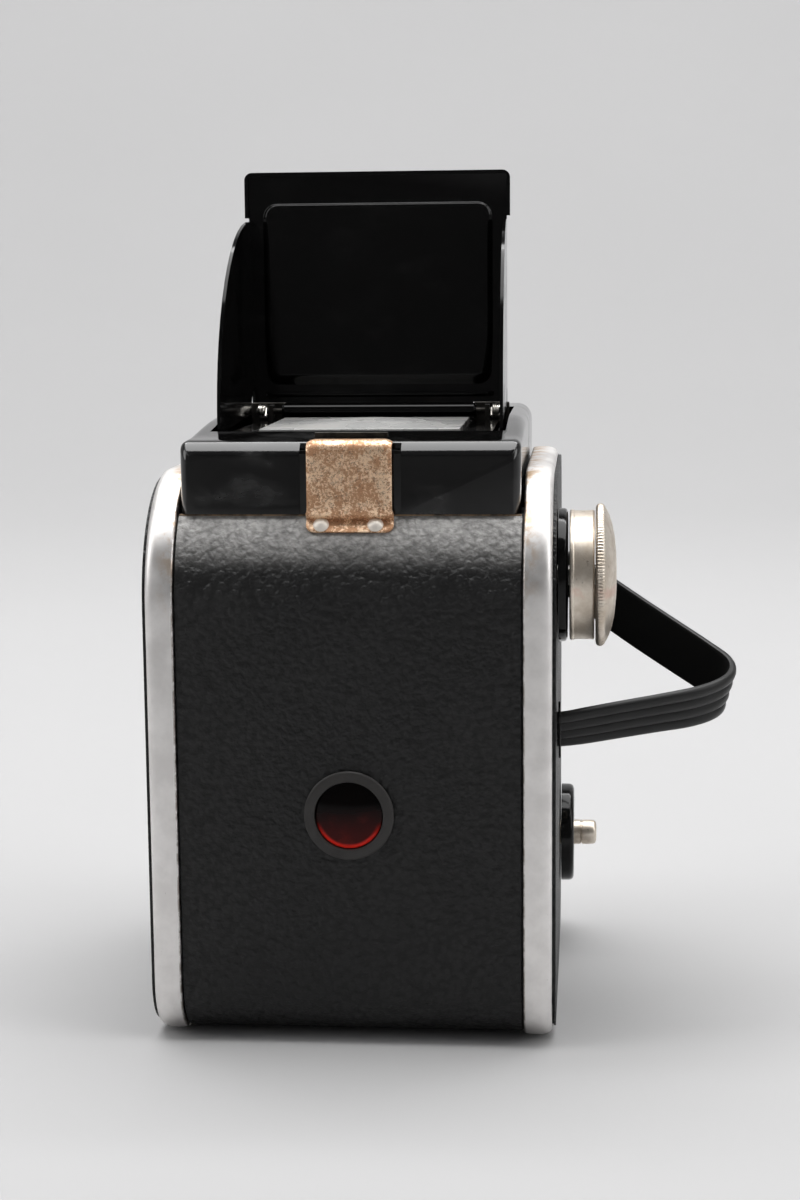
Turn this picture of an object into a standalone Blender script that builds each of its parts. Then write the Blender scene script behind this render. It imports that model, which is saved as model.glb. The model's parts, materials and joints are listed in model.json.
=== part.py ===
"""Box camera for 6 x 6 cm roll film, with a large waist-level finder under a pop-up hood.

Lengths are in millimetres until the last step. In the case's own coordinates X is to the right,
seen from behind, Y runs forward from the back of the case and Z up from its underside.
"""

import math

import bmesh
import bpy
from mathutils import Matrix, Vector

MM = 0.001
GAP = 0.3

# The case
CASE_WIDTH = 82.0
CASE_DEPTH = 92.0
CASE_HEIGHT = 115.4
SIDE_THICK = 1.1
REAR_TOP_RADIUS = 26.0
REAR_FOOT_RADIUS = 12.0
FRONT_RADIUS = 13.0
RAIL_OUTER_X = 40.3
RAIL_INNER_X = 34.6
RAIL_THICK = 1.6
SHEET_INSET = 1.9
SHEET_THICK = 1.0
SKIN_INSET = 0.6
SKIN_THICK = 1.0
SKIN_TOP_Z = 107.2
RAIL_JOINT_Y = 25.0
FILL_X = RAIL_INNER_X - GAP
INSIDE_X = CASE_WIDTH / 2 - SIDE_THICK
SHEET_X = INSIDE_X - GAP
COVER_END_DEG = 250.0
FIXED_START_DEG = 261.0
SHELL_START_DEG = 269.0

# The back cover turns about two pins in the lower rear corner
COVER_PIN_Y = 6.6
COVER_PIN_Z = 6.6
HINGE_POCKET_RADIUS = 6.4
HINGE_POCKET_X = 40.6

# The finder housing and its hood
HOUSING_FLOOR_Z = 107.5
OPENING_X = 30.4
OPENING_Y = (24.0, 75.6)
HOOD_AXIS_Y = 71.0
HOOD_AXIS_Z = 124.1
HOOD_LENGTH = 53.2
HOOD_X = 29.7
HOOD_NARROW_X = 28.95
HOOD_FRONT = 1.4
HOOD_SHEET = 0.8
WING_RADIUS = 42.5
WING_X = 28.6
WING_FLARE = 0.018
WING_SHEET = 0.7
LID_BOTTOM = 1.9
SKIRT_FROM = 43.2
SKIRT_DEPTH = 2.0
KNUCKLE_X = 21.3
KNUCKLE_RADIUS = 1.5
PIN_RADIUS = 0.75

# Optics
TAKING_Z = 54.0
VIEWING_Z = 104.0
FINDER_GLASS_X = 20.8
FINDER_GLASS_Y = (27.5, 65.5)
MASK_TOP_Z = 120.0
MIRROR_Y = 50.0

# Film transport
GATE_HALF = 27.0
GATE_Y = (6.6, 7.8)
WIND_Y = 22.0
WIND_Z = 93.5
SUPPLY_Y = 22.5
SUPPLY_Z = 16.5
SPOOL_X = 31.7
SPOOL_FLANGE_RADIUS = 12.2
ROLLER_RADIUS = 2.0
ROLLER_Y = 9.0
ROLLERS_Z = {"film_roller_top": 85.6, "film_roller_bottom": 22.4}
BAFFLE_RADIUS = 13.5

# Release and shutter
RELEASE_Y = 76.0
RELEASE_Z = 25.6
SHUTTER_PIVOT_X = 20.0
SHUTTER_PIVOT_Z = 31.5
SHUTTER_Y = (83.6, 84.3)

# Red window
WINDOW_Z = 48.0
WINDOW_RADIUS = 6.65
WINDOW_RING_RADIUS = 9.0

# Latch clip on the back cover
CLIP_FACE_X = 8.0
CLIP_FLANGE_X = 8.7
CLIP_OFF_CENTRE = 0.3
CLIP_THICK = 0.6
CLIP_LIP_Z = 121.95
CLIP_LIP_END_Y = 9.4
CLIP_AXIS_Y = 5.0
CLIP_AXIS_Z = 104.0

# Carrying strap on the right side
STRAP_WIDTH = 11.0
STRAP_THICK = 1.8
STRAP_STOP_THICK = 4.2
STRAP_SLOT = (12.2, 2.7)
STRAP_REAR = (19.5, 61.7, -43.0)
STRAP_FRONT = (72.0, 87.2, -20.0)

ARC_STEPS = 12
ROUND = 32

X_AXIS, Y_AXIS, Z_AXIS = Vector((1, 0, 0)), Vector((0, 1, 0)), Vector((0, 0, 1))

MATERIALS = {
    "leatherette": ((0.022, 0.022, 0.023), 0.55, 0.0),
    "black_enamel": ((0.008, 0.008, 0.009), 0.16, 0.0),
    "black_paint": ((0.012, 0.012, 0.012), 0.5, 0.0),
    "aluminium": ((0.62, 0.62, 0.61), 0.32, 1.0),
    "nickel": ((0.56, 0.50, 0.42), 0.3, 1.0),
    "rusty_steel": ((0.36, 0.25, 0.16), 0.6, 0.7),
    "steel": ((0.50, 0.50, 0.50), 0.35, 1.0),
    "ruby_glass": ((0.12, 0.002, 0.002), 0.08, 0.0),
    "glass": ((0.86, 0.90, 0.90), 0.03, 0.0),
    "mirror": ((0.9, 0.9, 0.9), 0.03, 1.0),
    "vinyl": ((0.016, 0.016, 0.017), 0.42, 0.0),
    "brass": ((0.60, 0.45, 0.20), 0.35, 1.0),
}


# ---------------------------------------------------------------- scene and materials


def clear_scene():
    for obj in list(bpy.data.objects):
        bpy.data.objects.remove(obj, do_unlink=True)


def new_collection(name, hidden=False):
    collection = bpy.data.collections.new(name)
    bpy.context.scene.collection.children.link(collection)
    collection.hide_render = hidden
    return collection


def material(kind):
    """One Principled material of this kind, made the first time it is asked for."""
    if kind in bpy.data.materials:
        return bpy.data.materials[kind]
    colour, roughness, metallic = MATERIALS[kind]
    made = bpy.data.materials.new(kind)
    made.use_nodes = True
    shader = made.node_tree.nodes["Principled BSDF"]
    shader.inputs["Base Color"].default_value = (*colour, 1)
    shader.inputs["Roughness"].default_value = roughness
    shader.inputs["Metallic"].default_value = metallic
    made.diffuse_color = (*colour, 1)
    return made


clear_scene()
CAMERA = new_collection("box_camera")
CUTTERS = new_collection("cutters", hidden=True)


def finish(name, mesh, kind, collection=None):
    """An object from a mesh in case millimetres. Its mesh is turned into metres about the case's centre."""
    mesh.transform(Matrix.Scale(MM, 4) @ Matrix.Translation((0, -CASE_DEPTH / 2, 0)))
    mesh.materials.append(material(kind))
    obj = bpy.data.objects.new(name, mesh)
    (collection or CAMERA).objects.link(obj)
    return obj


def from_bmesh(name, bm, kind, collection=None):
    bmesh.ops.recalc_face_normals(bm, faces=bm.faces)
    if bm.calc_volume(signed=True) < 0:
        bmesh.ops.reverse_faces(bm, faces=bm.faces)
    mesh = bpy.data.meshes.new(name)
    bm.to_mesh(mesh)
    bm.free()
    return finish(name, mesh, kind, collection)


def as_cutter(obj):
    """Takes an object out of the model, to serve another object's Boolean."""
    if obj.name in CAMERA.objects:
        CAMERA.objects.unlink(obj)
        CUTTERS.objects.link(obj)
    obj.hide_render = True
    obj.display_type = "WIRE"
    return obj


def boolean(obj, other, operation):
    modifier = obj.modifiers.new(f"{operation.lower()} {other.name}", "BOOLEAN")
    modifier.operation = operation
    modifier.solver = "EXACT"
    modifier.object = as_cutter(other)


def cut(obj, *others):
    for other in others:
        boolean(obj, other, "DIFFERENCE")
    return obj


def join(obj, *others):
    for other in others:
        boolean(obj, other, "UNION")
    return obj


def smooth(obj, angle=35):
    obj.data.shade_smooth()
    obj.data.set_sharp_from_angle(angle=math.radians(angle))
    return obj


# ---------------------------------------------------------------- building shapes


def box(name, low, high, kind="black_paint"):
    bm = bmesh.new()
    bmesh.ops.create_cube(bm, size=1)
    low, high = Vector(low), Vector(high)
    for vertex in bm.verts:
        vertex.co = [(a + b) / 2 + c * (b - a) for a, b, c in zip(low, high, vertex.co)]
    return from_bmesh(name, bm, kind)


def towards(axis):
    """The rotation that takes +Z to this axis."""
    return Z_AXIS.rotation_difference(Vector(axis)).to_matrix().to_4x4()


def rod(name, start, end, radius, kind="steel", sides=ROUND):
    """A cylinder between two points."""
    start, end = Vector(start), Vector(end)
    bm = bmesh.new()
    place = Matrix.Translation((start + end) / 2) @ towards((end - start).normalized())
    bmesh.ops.create_cone(
        bm,
        cap_ends=True,
        segments=sides,
        radius1=radius,
        radius2=radius,
        depth=(end - start).length,
        matrix=place,
    )
    return smooth(from_bmesh(name, bm, kind))


def turned(name, profile, base, axis, kind, steps=ROUND):
    """A turned solid: profile lists (radius, distance along the axis) round the outside, far end first."""
    mesh = bpy.data.meshes.new(name)
    points = [(r * MM, 0, h * MM) for r, h in profile]
    closed = profile[0][0] > 0 and profile[-1][0] > 0
    edges = [(i, i + 1) for i in range(len(points) - 1)]
    if closed:
        edges.append((len(points) - 1, 0))
    mesh.from_pydata(points, edges, [])
    mesh.materials.append(material(kind))
    obj = bpy.data.objects.new(name, mesh)
    CAMERA.objects.link(obj)
    screw = obj.modifiers.new("turned", "SCREW")
    screw.steps = steps
    screw.render_steps = steps
    screw.use_merge_vertices = True
    screw.merge_threshold = 0.00001
    screw.use_smooth_shade = True
    x, y, z = base
    obj.matrix_world = Matrix.Translation((x * MM, (y - CASE_DEPTH / 2) * MM, z * MM)) @ towards(axis)
    return obj


def plate(name, outlines, low, high, kind, plane="YZ"):
    """Flat outlines, the first one outside and the others holes, given a thickness from low to high.

    In plane YZ the points are (y, z) and the thickness runs along X. In plane XZ they are (x, z),
    and the thickness runs along Y.
    """
    curve = bpy.data.curves.new(name, "CURVE")
    curve.dimensions = "2D"
    curve.fill_mode = "BOTH"
    curve.extrude = (high - low) / 2
    for outline in outlines:
        spline = curve.splines.new("POLY")
        spline.points.add(len(outline) - 1)
        for point, (u, v) in zip(spline.points, outline):
            point.co = (u, v, 0, 1)
        spline.use_cyclic_u = True
    guide = bpy.data.objects.new(name + "_outline", curve)
    CUTTERS.objects.link(guide)
    bpy.context.view_layer.update()
    graph = bpy.context.evaluated_depsgraph_get()
    mesh = bpy.data.meshes.new_from_object(guide.evaluated_get(graph))
    bpy.data.objects.remove(guide)
    bm = bmesh.new()
    bm.from_mesh(mesh)
    bpy.data.meshes.remove(mesh)
    bmesh.ops.remove_doubles(bm, verts=bm.verts, dist=0.0001)
    middle = (low + high) / 2
    if plane == "YZ":
        place = Matrix(((0, 0, 1, middle), (1, 0, 0, 0), (0, 1, 0, 0), (0, 0, 0, 1)))
    else:
        place = Matrix(((1, 0, 0, 0), (0, 0, -1, middle), (0, 1, 0, 0), (0, 0, 0, 1)))
    bm.transform(place)
    return from_bmesh(name, bm, kind)


def arc(centre, radius, start, end, steps=ARC_STEPS):
    """Points on a circle, angles in degrees from the first axis towards the second."""
    angles = [math.radians(start + (end - start) * i / steps) for i in range(steps + 1)]
    return [(centre[0] + radius * math.cos(a), centre[1] + radius * math.sin(a)) for a in angles]


def circle(centre, radius, steps=ROUND):
    return arc(centre, radius, 0, 360 * (steps - 1) / steps, steps - 1)


def rounded_rectangle(low, high, radii):
    """An outline with corner radii in the order low-low, high-low, high-high, low-high."""
    (x0, y0), (x1, y1) = low, high
    a, b, c, d = radii
    return (
        arc((x0 + a, y0 + a), a, 180, 270, 6)
        + arc((x1 - b, y0 + b), b, 270, 360, 6)
        + arc((x1 - c, y1 - c), c, 0, 90, 6)
        + arc((x0 + d, y1 - d), d, 90, 180, 6)
    )


def strap_direction(end):
    """Direction of the strap's width where it passes through the side, in the YZ plane."""
    lean = math.radians(end[2])
    return math.sin(lean), math.cos(lean)


def strap_outline(end, length, width, radius):
    """Rounded rectangle about the strap's end, along the strap's width."""
    (wy, wz), (cy, cz) = strap_direction(end), end[:2]
    half, low = length / 2, width / 2
    flat = rounded_rectangle((-half, -low), (half, low), (radius,) * 4)
    return [(cy + u * wy + v * wz, cz + u * wz - v * wy) for u, v in flat]


CORNERS = {
    "rear_top": ((REAR_TOP_RADIUS, CASE_HEIGHT - REAR_TOP_RADIUS), REAR_TOP_RADIUS),
    "rear_foot": ((REAR_FOOT_RADIUS, REAR_FOOT_RADIUS), REAR_FOOT_RADIUS),
    "front_foot": ((CASE_DEPTH - FRONT_RADIUS, FRONT_RADIUS), FRONT_RADIUS),
    "front_top": ((CASE_DEPTH - FRONT_RADIUS, CASE_HEIGHT - FRONT_RADIUS), FRONT_RADIUS),
}


def corner(name, inset, start, end, steps=ARC_STEPS):
    centre, radius = CORNERS[name]
    return arc(centre, radius - inset, start, end, steps)


def case_outline(inset):
    return (
        corner("rear_foot", inset, 180, 270)
        + corner("front_foot", inset, 270, 360)
        + corner("front_top", inset, 0, 90)
        + corner("rear_top", inset, 90, 180)
    )


def joint_angle(inset, y):
    """The angle on the rear top corner at which an inset path reaches this depth."""
    centre, radius = CORNERS["rear_top"]
    return math.degrees(math.acos((y - centre[0]) / (radius - inset)))


def cover_path(inset, top_angle):
    """Along the back cover: round the foot, up the back and over the top corner."""
    return corner("rear_foot", inset, COVER_END_DEG, 180, 8) + corner(
        "rear_top", inset, 180, top_angle, 14
    )


def fixed_path(inset, foot_angle=FIXED_START_DEG):
    """Along the fixed case: from the joint at the top over the front and back under the foot."""
    start = joint_angle(inset, RAIL_JOINT_Y + GAP)
    return (
        corner("rear_top", inset, start, 90, 1)
        + corner("front_top", inset, 90, 0)
        + corner("front_foot", inset, 0, -90)
        + corner("rear_foot", inset, 270, foot_angle, 2)
    )


def band(outer, inner):
    """The outline of a sheet between two paths that run the same way."""
    return outer + inner[::-1]


# ---------------------------------------------------------------- axes


def axis_empty(name, x, y, z):
    empty = bpy.data.objects.new(name, None)
    empty.empty_display_size = 0.01
    empty.location = (x * MM, (y - CASE_DEPTH / 2) * MM, z * MM)
    CAMERA.objects.link(empty)
    return empty


def hang(empty, *objects):
    """Parents objects to the empty on their joint's axis, where they stand."""
    bpy.context.view_layer.update()
    for obj in objects:
        obj.parent = empty
        obj.matrix_parent_inverse = empty.matrix_world.inverted()


# ---------------------------------------------------------------- the case


def make_side_panels():
    """Flat panels, hollowed inside the lower rear corner where the back cover's rails swing."""
    wind_hole = circle((WIND_Y, WIND_Z), 3.4)
    release_hole = circle((RELEASE_Y, RELEASE_Z), 3.4)
    outline = case_outline(SHEET_INSET)
    slots = [strap_outline(end, *STRAP_SLOT, 0.8) for end in (STRAP_REAR, STRAP_FRONT)]
    half = CASE_WIDTH / 2
    left = plate("side_panel_left", [outline], -half, -INSIDE_X, "leatherette")
    outlines = [outline, wind_hole, release_hole, *slots]
    right = plate("side_panel_right", outlines, INSIDE_X, half, "leatherette")
    for side, panel in ((-1, left), (1, right)):
        ends = [(side * x, COVER_PIN_Y, COVER_PIN_Z) for x in (SHEET_X - 1, HINGE_POCKET_X)]
        cut(panel, rod(f"hinge_pocket_{side}", *ends, HINGE_POCKET_RADIUS))


def make_case_shell():
    """Sheet that makes the front, the floor and two strips along the top."""
    paths = [fixed_path(SHEET_INSET + depth, SHELL_START_DEG) for depth in (0, SHEET_THICK)]
    outline = band(*paths)
    shell = plate("case_shell", [outline], -SHEET_X, SHEET_X, "black_paint")
    cut(
        shell,
        box("housing_space", (-FILL_X, 0, 104.9), (FILL_X, 100, 130)),
        rod("taking_tube_space", (0, 80, TAKING_Z), (0, 100, TAKING_Z), 10.0),
        rod("viewing_tube_space", (0, 70, VIEWING_Z), (0, 100, VIEWING_Z), 12.4),
        rod("bush_space", (0, 62, -5), (0, 62, 10), 5.4),
    )


def make_base_plate():
    base = box("base_plate", (-FILL_X, 13, 0), (FILL_X, 79, 1.6))
    cut(base, rod("base_bush_space", (0, 62, -5), (0, 62, 10), 5.4))


def make_tripod_bush():
    profile = [(0.0, 9.0), (5.0, 9.0), (5.0, 0.2), (3.2, 0.2), (3.2, 7.8), (0.0, 7.8)]
    turned("tripod_bush", profile, (0, 62, 0), Z_AXIS, "brass", 24)


def make_front_rails():
    outline = band(fixed_path(0), fixed_path(RAIL_THICK))
    plate("front_rail_left", [outline], -RAIL_OUTER_X, -RAIL_INNER_X, "aluminium")
    plate("front_rail_right", [outline], RAIL_INNER_X, RAIL_OUTER_X, "aluminium")


def make_front_plate():
    outline = rounded_rectangle((-33.7, 7), (33.7, 124.5), (6, 6, 3.6, 3.6))
    holes = [circle((0, TAKING_Z), 9.5), circle((0, VIEWING_Z), 11.5)]
    plate("front_plate", [outline, *holes], 90.4, 92.0, "aluminium", "XZ")
    panel = rounded_rectangle((-25, 33), (25, 120.5), (9, 9, 5, 5))
    plate("lens_panel", [panel, *holes], 92.3, 93.1, "black_enamel", "XZ")


# Sections of the finder housing: depth, half width, top, and radius of the top corners
HOUSING_SECTIONS = (
    (7.0, 32.4, 120.0, 1.0),
    (7.25, 33.2, 120.9, 1.2),
    (7.9, 33.8, 121.5, 1.4),
    (8.8, 34.0, 121.8, 1.5),
    (18.0, 34.0, 122.1, 1.6),
    (32.0, 34.0, 123.6, 2.0),
    (46.0, 34.0, 124.7, 2.6),
    (90.1, 34.0, 124.7, 3.4),
)


def make_finder_housing():
    """Cover over the finder. Its top rises from the back edge and is open for the hood."""
    bm = bmesh.new()
    rings = []
    for y, half, top, radius in HOUSING_SECTIONS:
        left = arc((-half + radius, top - radius), radius, 180, 90, 5)
        right = arc((half - radius, top - radius), radius, 90, 0, 5)
        outline = [(-half, HOUSING_FLOOR_Z), *left, *right, (half, HOUSING_FLOOR_Z)]
        rings.append([bm.verts.new((x, y, z)) for x, z in outline])
    for a, b in zip(rings, rings[1:]):
        for i in range(len(a)):
            j = (i + 1) % len(a)
            bm.faces.new((a[i], a[j], b[j], b[i]))
    bm.faces.new(rings[0])
    bm.faces.new(rings[-1][::-1])
    housing = smooth(from_bmesh("finder_housing", bm, "black_enamel"), 30)
    (y0, y1), x = OPENING_Y, OPENING_X
    cut(
        housing,
        box("housing_hollow", (-32.4, 8.6, 100), (32.4, 88.6, 120.3)),
        box("housing_crown_hollow", (-32.0, 46.0, 110), (32.0, 88.6, 123.2)),
        box("hood_space", (-x, y0, 110), (x, y1, 130)),
        rod("housing_lens_space", (0, 80, VIEWING_Z), (0, 100, VIEWING_Z), 12.4),
    )


def make_glass_frame():
    """Frame round the finder's glass, on the mask."""
    low = MASK_TOP_Z + GAP
    frame = box("glass_frame", (-27.4, 24.6, low), (27.4, 68.6, 122.2), "black_enamel")
    (y0, y1), x = FINDER_GLASS_Y, FINDER_GLASS_X + GAP
    cut(frame, box("frame_opening", (-x, y0 - GAP, 110), (x, y1 + GAP, 130)))


def make_latch_catch():
    box("latch_catch", (-7.4, 13.0, 122.25), (7.4, 14.0, 123.3), "steel")


def make_cover_pins():
    for side, name in ((-1, "cover_pin_left"), (1, "cover_pin_right")):
        ends = [(side * x, COVER_PIN_Y, COVER_PIN_Z) for x in (HINGE_POCKET_X - GAP, 35.8)]
        rod(name, *ends, 1.0, sides=16)


# ---------------------------------------------------------------- the finder


def make_finder_mask():
    mask = box("finder_mask", (-27.4, 9.2, MASK_TOP_Z - 1), (27.4, 74.6, MASK_TOP_Z))
    (y0, y1), x = FINDER_GLASS_Y, FINDER_GLASS_X
    cut(mask, box("mask_opening", (-x + 1, y0 + 1, 110), (x - 1, y1 - 1, 130)))


def dome_profile(radius, rise, steps=6):
    """(radius, height) points over a shallow spherical cap, from its top to its rim."""
    sphere = (radius**2 + rise**2) / (2 * rise)
    tilt = math.asin(radius / sphere)
    angles = [tilt * i / steps for i in range(steps + 1)]
    return [(sphere * math.sin(a), sphere * (math.cos(a) - math.cos(tilt))) for a in angles]


def make_finder_lens():
    """Square moulded glass with a shallow round dome."""
    (y0, y1), x = FINDER_GLASS_Y, FINDER_GLASS_X
    top = 123.0
    base = box("finder_lens", (-x, y0, MASK_TOP_Z + GAP), (x, y1, top), "glass")
    radius, rise = 17.5, 0.9
    profile = dome_profile(radius, rise) + [(radius, -0.8), (0.0, -0.8)]
    cap = turned("finder_lens_dome", profile, (0, (y0 + y1) / 2, top), Z_AXIS, "glass")
    join(base, cap)


def make_mirror():
    """Mirror at 45 degrees under the glass, on a bracket behind it."""
    turn = Matrix.Translation((0, MIRROR_Y, VIEWING_Z)) @ Matrix.Rotation(math.radians(-45), 4, "X")
    for name, x, length, low, high, kind in (
        ("finder_mirror", 19.0, 17.0, -1.2, 0.0, "mirror"),
        ("mirror_bracket", 20.5, 18.0, -2.5, -1.5, "black_paint"),
    ):
        bm = bmesh.new()
        bmesh.ops.create_cube(bm, size=1)
        for vertex in bm.verts:
            vertex.co = (
                vertex.co.x * 2 * x,
                vertex.co.y * 2 * length,
                (low + high) / 2 + vertex.co.z * (high - low),
            )
        bm.transform(turn)
        from_bmesh(name, bm, kind)


def make_lens(name, z, y, radius, bulge, kind="glass"):
    """A plano-convex lens on the optical axis, convex to the front."""
    profile = dome_profile(radius, bulge) + [(radius, -1.2), (0.0, -1.2)]
    turned(name, profile, (0, y, z), Y_AXIS, kind)


def make_lens_rings():
    taking = [(11.5, 2.2), (9.2, 0.0), (9.2, -6.0), (7.0, -6.0), (7.0, -0.5), (9.6, 3.2), (11.0, 3.2)]
    turned("taking_lens_ring", taking, (0, 93.5, TAKING_Z), Y_AXIS, "aluminium")
    viewing = [(13.2, 1.6), (13.2, 0.0), (11.2, 0.0), (11.2, -5.0), (9.5, -5.0), (9.5, -0.5), (11.8, 2.4)]
    turned("viewing_lens_ring", viewing, (0, 93.5, VIEWING_Z), Y_AXIS, "aluminium")


def hood_point(back, up):
    """A point of the hood given from its axis, while the hood stands open."""
    return HOOD_AXIS_Y - back, HOOD_AXIS_Z + up


def make_hood():
    """Pressed lid with a shallow skirt at its upper end and two quarter-round wings."""
    y_front, z_low = hood_point(-HOOD_FRONT, LID_BOTTOM)
    y_back, z_high = hood_point(HOOD_SHEET - HOOD_FRONT, HOOD_LENGTH)
    skirt_y, skirt_z = hood_point(SKIRT_DEPTH - HOOD_FRONT, SKIRT_FROM)
    narrow = HOOD_NARROW_X
    hood = box("hood", (-narrow, y_back, z_low), (narrow, y_front, skirt_z + 0.5), "black_enamel")
    tray = box("hood_tray", (-HOOD_X, skirt_y, skirt_z), (HOOD_X, y_front, z_high))
    inner = HOOD_X - HOOD_SHEET
    low, high = (-inner, skirt_y - 1, skirt_z - 1), (inner, y_back, z_high - HOOD_SHEET)
    cut(tray, box("tray_hollow", low, high))
    leaf = box("hood_leaf", (-KNUCKLE_X, y_back, HOOD_AXIS_Z + 0.7), (KNUCKLE_X, y_front, z_low + 0.5))
    knuckle_ends = [(side * KNUCKLE_X, HOOD_AXIS_Y, HOOD_AXIS_Z) for side in (-1, 1)]
    knuckle = rod("hood_knuckle", *knuckle_ends, KNUCKLE_RADIUS, sides=20)
    join(hood, tray, leaf, knuckle, *[make_wing(side) for side in (-1, 1)])
    bore_ends = [(side * (KNUCKLE_X + 1), HOOD_AXIS_Y, HOOD_AXIS_Z) for side in (-1, 1)]
    cut(hood, rod("hood_pin_bore", *bore_ends, PIN_RADIUS + GAP, sides=20))
    return hood


def make_wing(side):
    """Quarter of a disc about the hood's axis, flared outwards away from the lid."""
    rim = arc((0, 0), WING_RADIUS, 90, 183, 14)
    foot = arc((0, 0), 5.0, 183, 90, 4)
    join_line = [(0.9, 5.0), (0.9, WING_RADIUS)]
    outline = [hood_point(-y, z) for y, z in rim + foot + join_line]
    wing = plate("wing", [outline], -WING_SHEET / 2, WING_SHEET / 2, "black_enamel")
    axis_y = (HOOD_AXIS_Y - CASE_DEPTH / 2) * MM
    for vertex in wing.data.vertices:
        vertex.co.x = side * (WING_X * MM + WING_FLARE * max(axis_y - vertex.co.y, 0)) + vertex.co.x
    return wing


def make_hood_hinge():
    """Pin through the hood's knuckle, its two brackets, and a coil spring at each end."""
    ends = [(side * 27.9, HOOD_AXIS_Y, HOOD_AXIS_Z) for side in (-1, 1)]
    rod("hood_pin", *ends, PIN_RADIUS, sides=20)
    floor = MASK_TOP_Z + GAP
    for side, name in ((-1, "left"), (1, "right")):
        low, high = sorted((side * 22.2, side * 25.0))
        bracket = box(f"hood_bracket_{name}", (low, 69.2, floor), (high, 74.4, floor + 0.9), "steel")
        low, high = sorted((side * 24.0, side * 25.0))
        ear = box("bracket_ear", (low, 69.6, floor + 0.4), (high, 72.6, 125.5))
        join(bracket, ear)
        bore = [(side * x, HOOD_AXIS_Y, HOOD_AXIS_Z) for x in (23, 26)]
        cut(bracket, rod("ear_bore", *bore, PIN_RADIUS + GAP, sides=20))
        coil = [(1.6, 2.2), (1.6, 0.0), (1.05, 0.0), (1.05, 2.2)]
        base = (side * 25.3, HOOD_AXIS_Y, HOOD_AXIS_Z)
        turned(f"hood_spring_{name}", coil, base, (side, 0, 0), "steel", 20)


# ---------------------------------------------------------------- the dark chamber


def make_chamber_roof():
    """Baffle round the take-up spool that runs on as the roof of the dark chamber."""
    path = arc((WIND_Y, WIND_Z), BAFFLE_RADIUS, 130, -50, 18) + [(34.0, 79.0), (88.6, 79.0)]
    mesh = bpy.data.meshes.new("chamber_roof")
    points = [(x, y, z) for y, z in path for x in (-SHEET_X + 0.1, SHEET_X - 0.1)]
    faces = [(2 * i, 2 * i + 1, 2 * i + 3, 2 * i + 2) for i in range(len(path) - 1)]
    mesh.from_pydata(points, [], faces)
    roof = finish("chamber_roof", mesh, "black_paint")
    sheet = roof.modifiers.new("sheet", "SOLIDIFY")
    sheet.thickness = 0.6 * MM
    sheet.offset = 0
    sheet.use_even_offset = True


def make_light_cone():
    """Four-sided funnel from the lens to the film gate."""
    sections = [(GATE_Y[1] + GAP, GATE_HALF + 0.4), (80.0, 9.0)]
    bm = bmesh.new()
    loops = []
    for y, half in sections:
        corners = ((-half, -half), (half, -half), (half, half), (-half, half))
        loops.append([bm.verts.new((x, y, TAKING_Z + z)) for x, z in corners])
    for i in range(4):
        j = (i + 1) % 4
        bm.faces.new((loops[0][i], loops[0][j], loops[1][j], loops[1][i]))
    cone = from_bmesh("light_cone", bm, "black_paint")
    wall = cone.modifiers.new("wall", "SOLIDIFY")
    wall.thickness = 0.8 * MM
    wall.offset = 1
    wall.use_even_offset = True


def make_film_gate():
    outline = rounded_rectangle((-SHEET_X, 24.9), (SHEET_X, 83.1), (1, 1, 1, 1))
    low, high = TAKING_Z - GATE_HALF, TAKING_Z + GATE_HALF
    opening = rounded_rectangle((-GATE_HALF, low), (GATE_HALF, high), (1, 1, 1, 1))
    plate("film_gate", [outline, opening], *GATE_Y, "black_paint", "XZ")


def make_rollers():
    rollers = {}
    for name, z in ROLLERS_Z.items():
        rollers[name] = rod(name, (-38.8, ROLLER_Y, z), (38.8, ROLLER_Y, z), ROLLER_RADIUS, sides=20)
    return rollers


def make_spool_pins():
    """Pins that stand inwards from the side panels and carry the spools."""
    for name, side, y, z in (
        ("supply_pin_left", -1, SUPPLY_Y, SUPPLY_Z),
        ("supply_pin_right", 1, SUPPLY_Y, SUPPLY_Z),
        ("takeup_pin_left", -1, WIND_Y, WIND_Z),
    ):
        profile = [(0.0, 11.0), (1.3, 10.4), (1.6, 9.6), (1.6, 1.0), (5.0, 1.0), (5.0, 0.0), (0.0, 0.0)]
        turned(name, profile, (side * SHEET_X, y, z), (-side, 0, 0), "steel", 20)


def make_takeup_spool():
    flange, core, bore = SPOOL_FLANGE_RADIUS, 5.6, 2.3
    profile = [
        (bore, SPOOL_X),
        (flange, SPOOL_X),
        (flange, SPOOL_X - 0.8),
        (core, SPOOL_X - 0.8),
        (core, 0.8 - SPOOL_X),
        (flange, 0.8 - SPOOL_X),
        (flange, -SPOOL_X),
        (bore, -SPOOL_X),
    ]
    return turned("takeup_spool", profile, (0, WIND_Y, WIND_Z), X_AXIS, "black_paint")


def make_winder():
    """Shaft and knob on the right side. The shaft drives the take-up spool."""
    shaft = rod("winding_shaft", (19.0, WIND_Y, WIND_Z), (50.4, WIND_Y, WIND_Z), 2.0, sides=20)
    escutcheon = [(13.6, 1.4), (13.6, 0.0), (2.8, 0.0), (2.8, 1.9), (13.0, 1.9)]
    turned("knob_escutcheon", escutcheon, (41.3, WIND_Y, WIND_Z), X_AXIS, "black_enamel")
    body = [(13.2, 5.0), (13.3, 0.6), (12.8, 0.0), (2.4, 0.0), (2.4, 5.0)]
    knob = turned("winding_knob", body, (43.5, WIND_Y, WIND_Z), X_AXIS, "nickel", 40)
    dome = [(0.0, 4.2), (6.0, 4.0), (10.5, 3.5), (13.4, 2.6), (14.4, 1.7), (14.4, 0.6), (13.8, 0.0)]
    cap_profile = dome + [(2.4, 0.0), (2.4, 2.0), (0.0, 2.0)]
    cap = turned("knob_cap", cap_profile, (48.8, WIND_Y, WIND_Z), X_AXIS, "nickel", 40)
    return shaft, knob, cap


# ---------------------------------------------------------------- release and shutter


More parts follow.
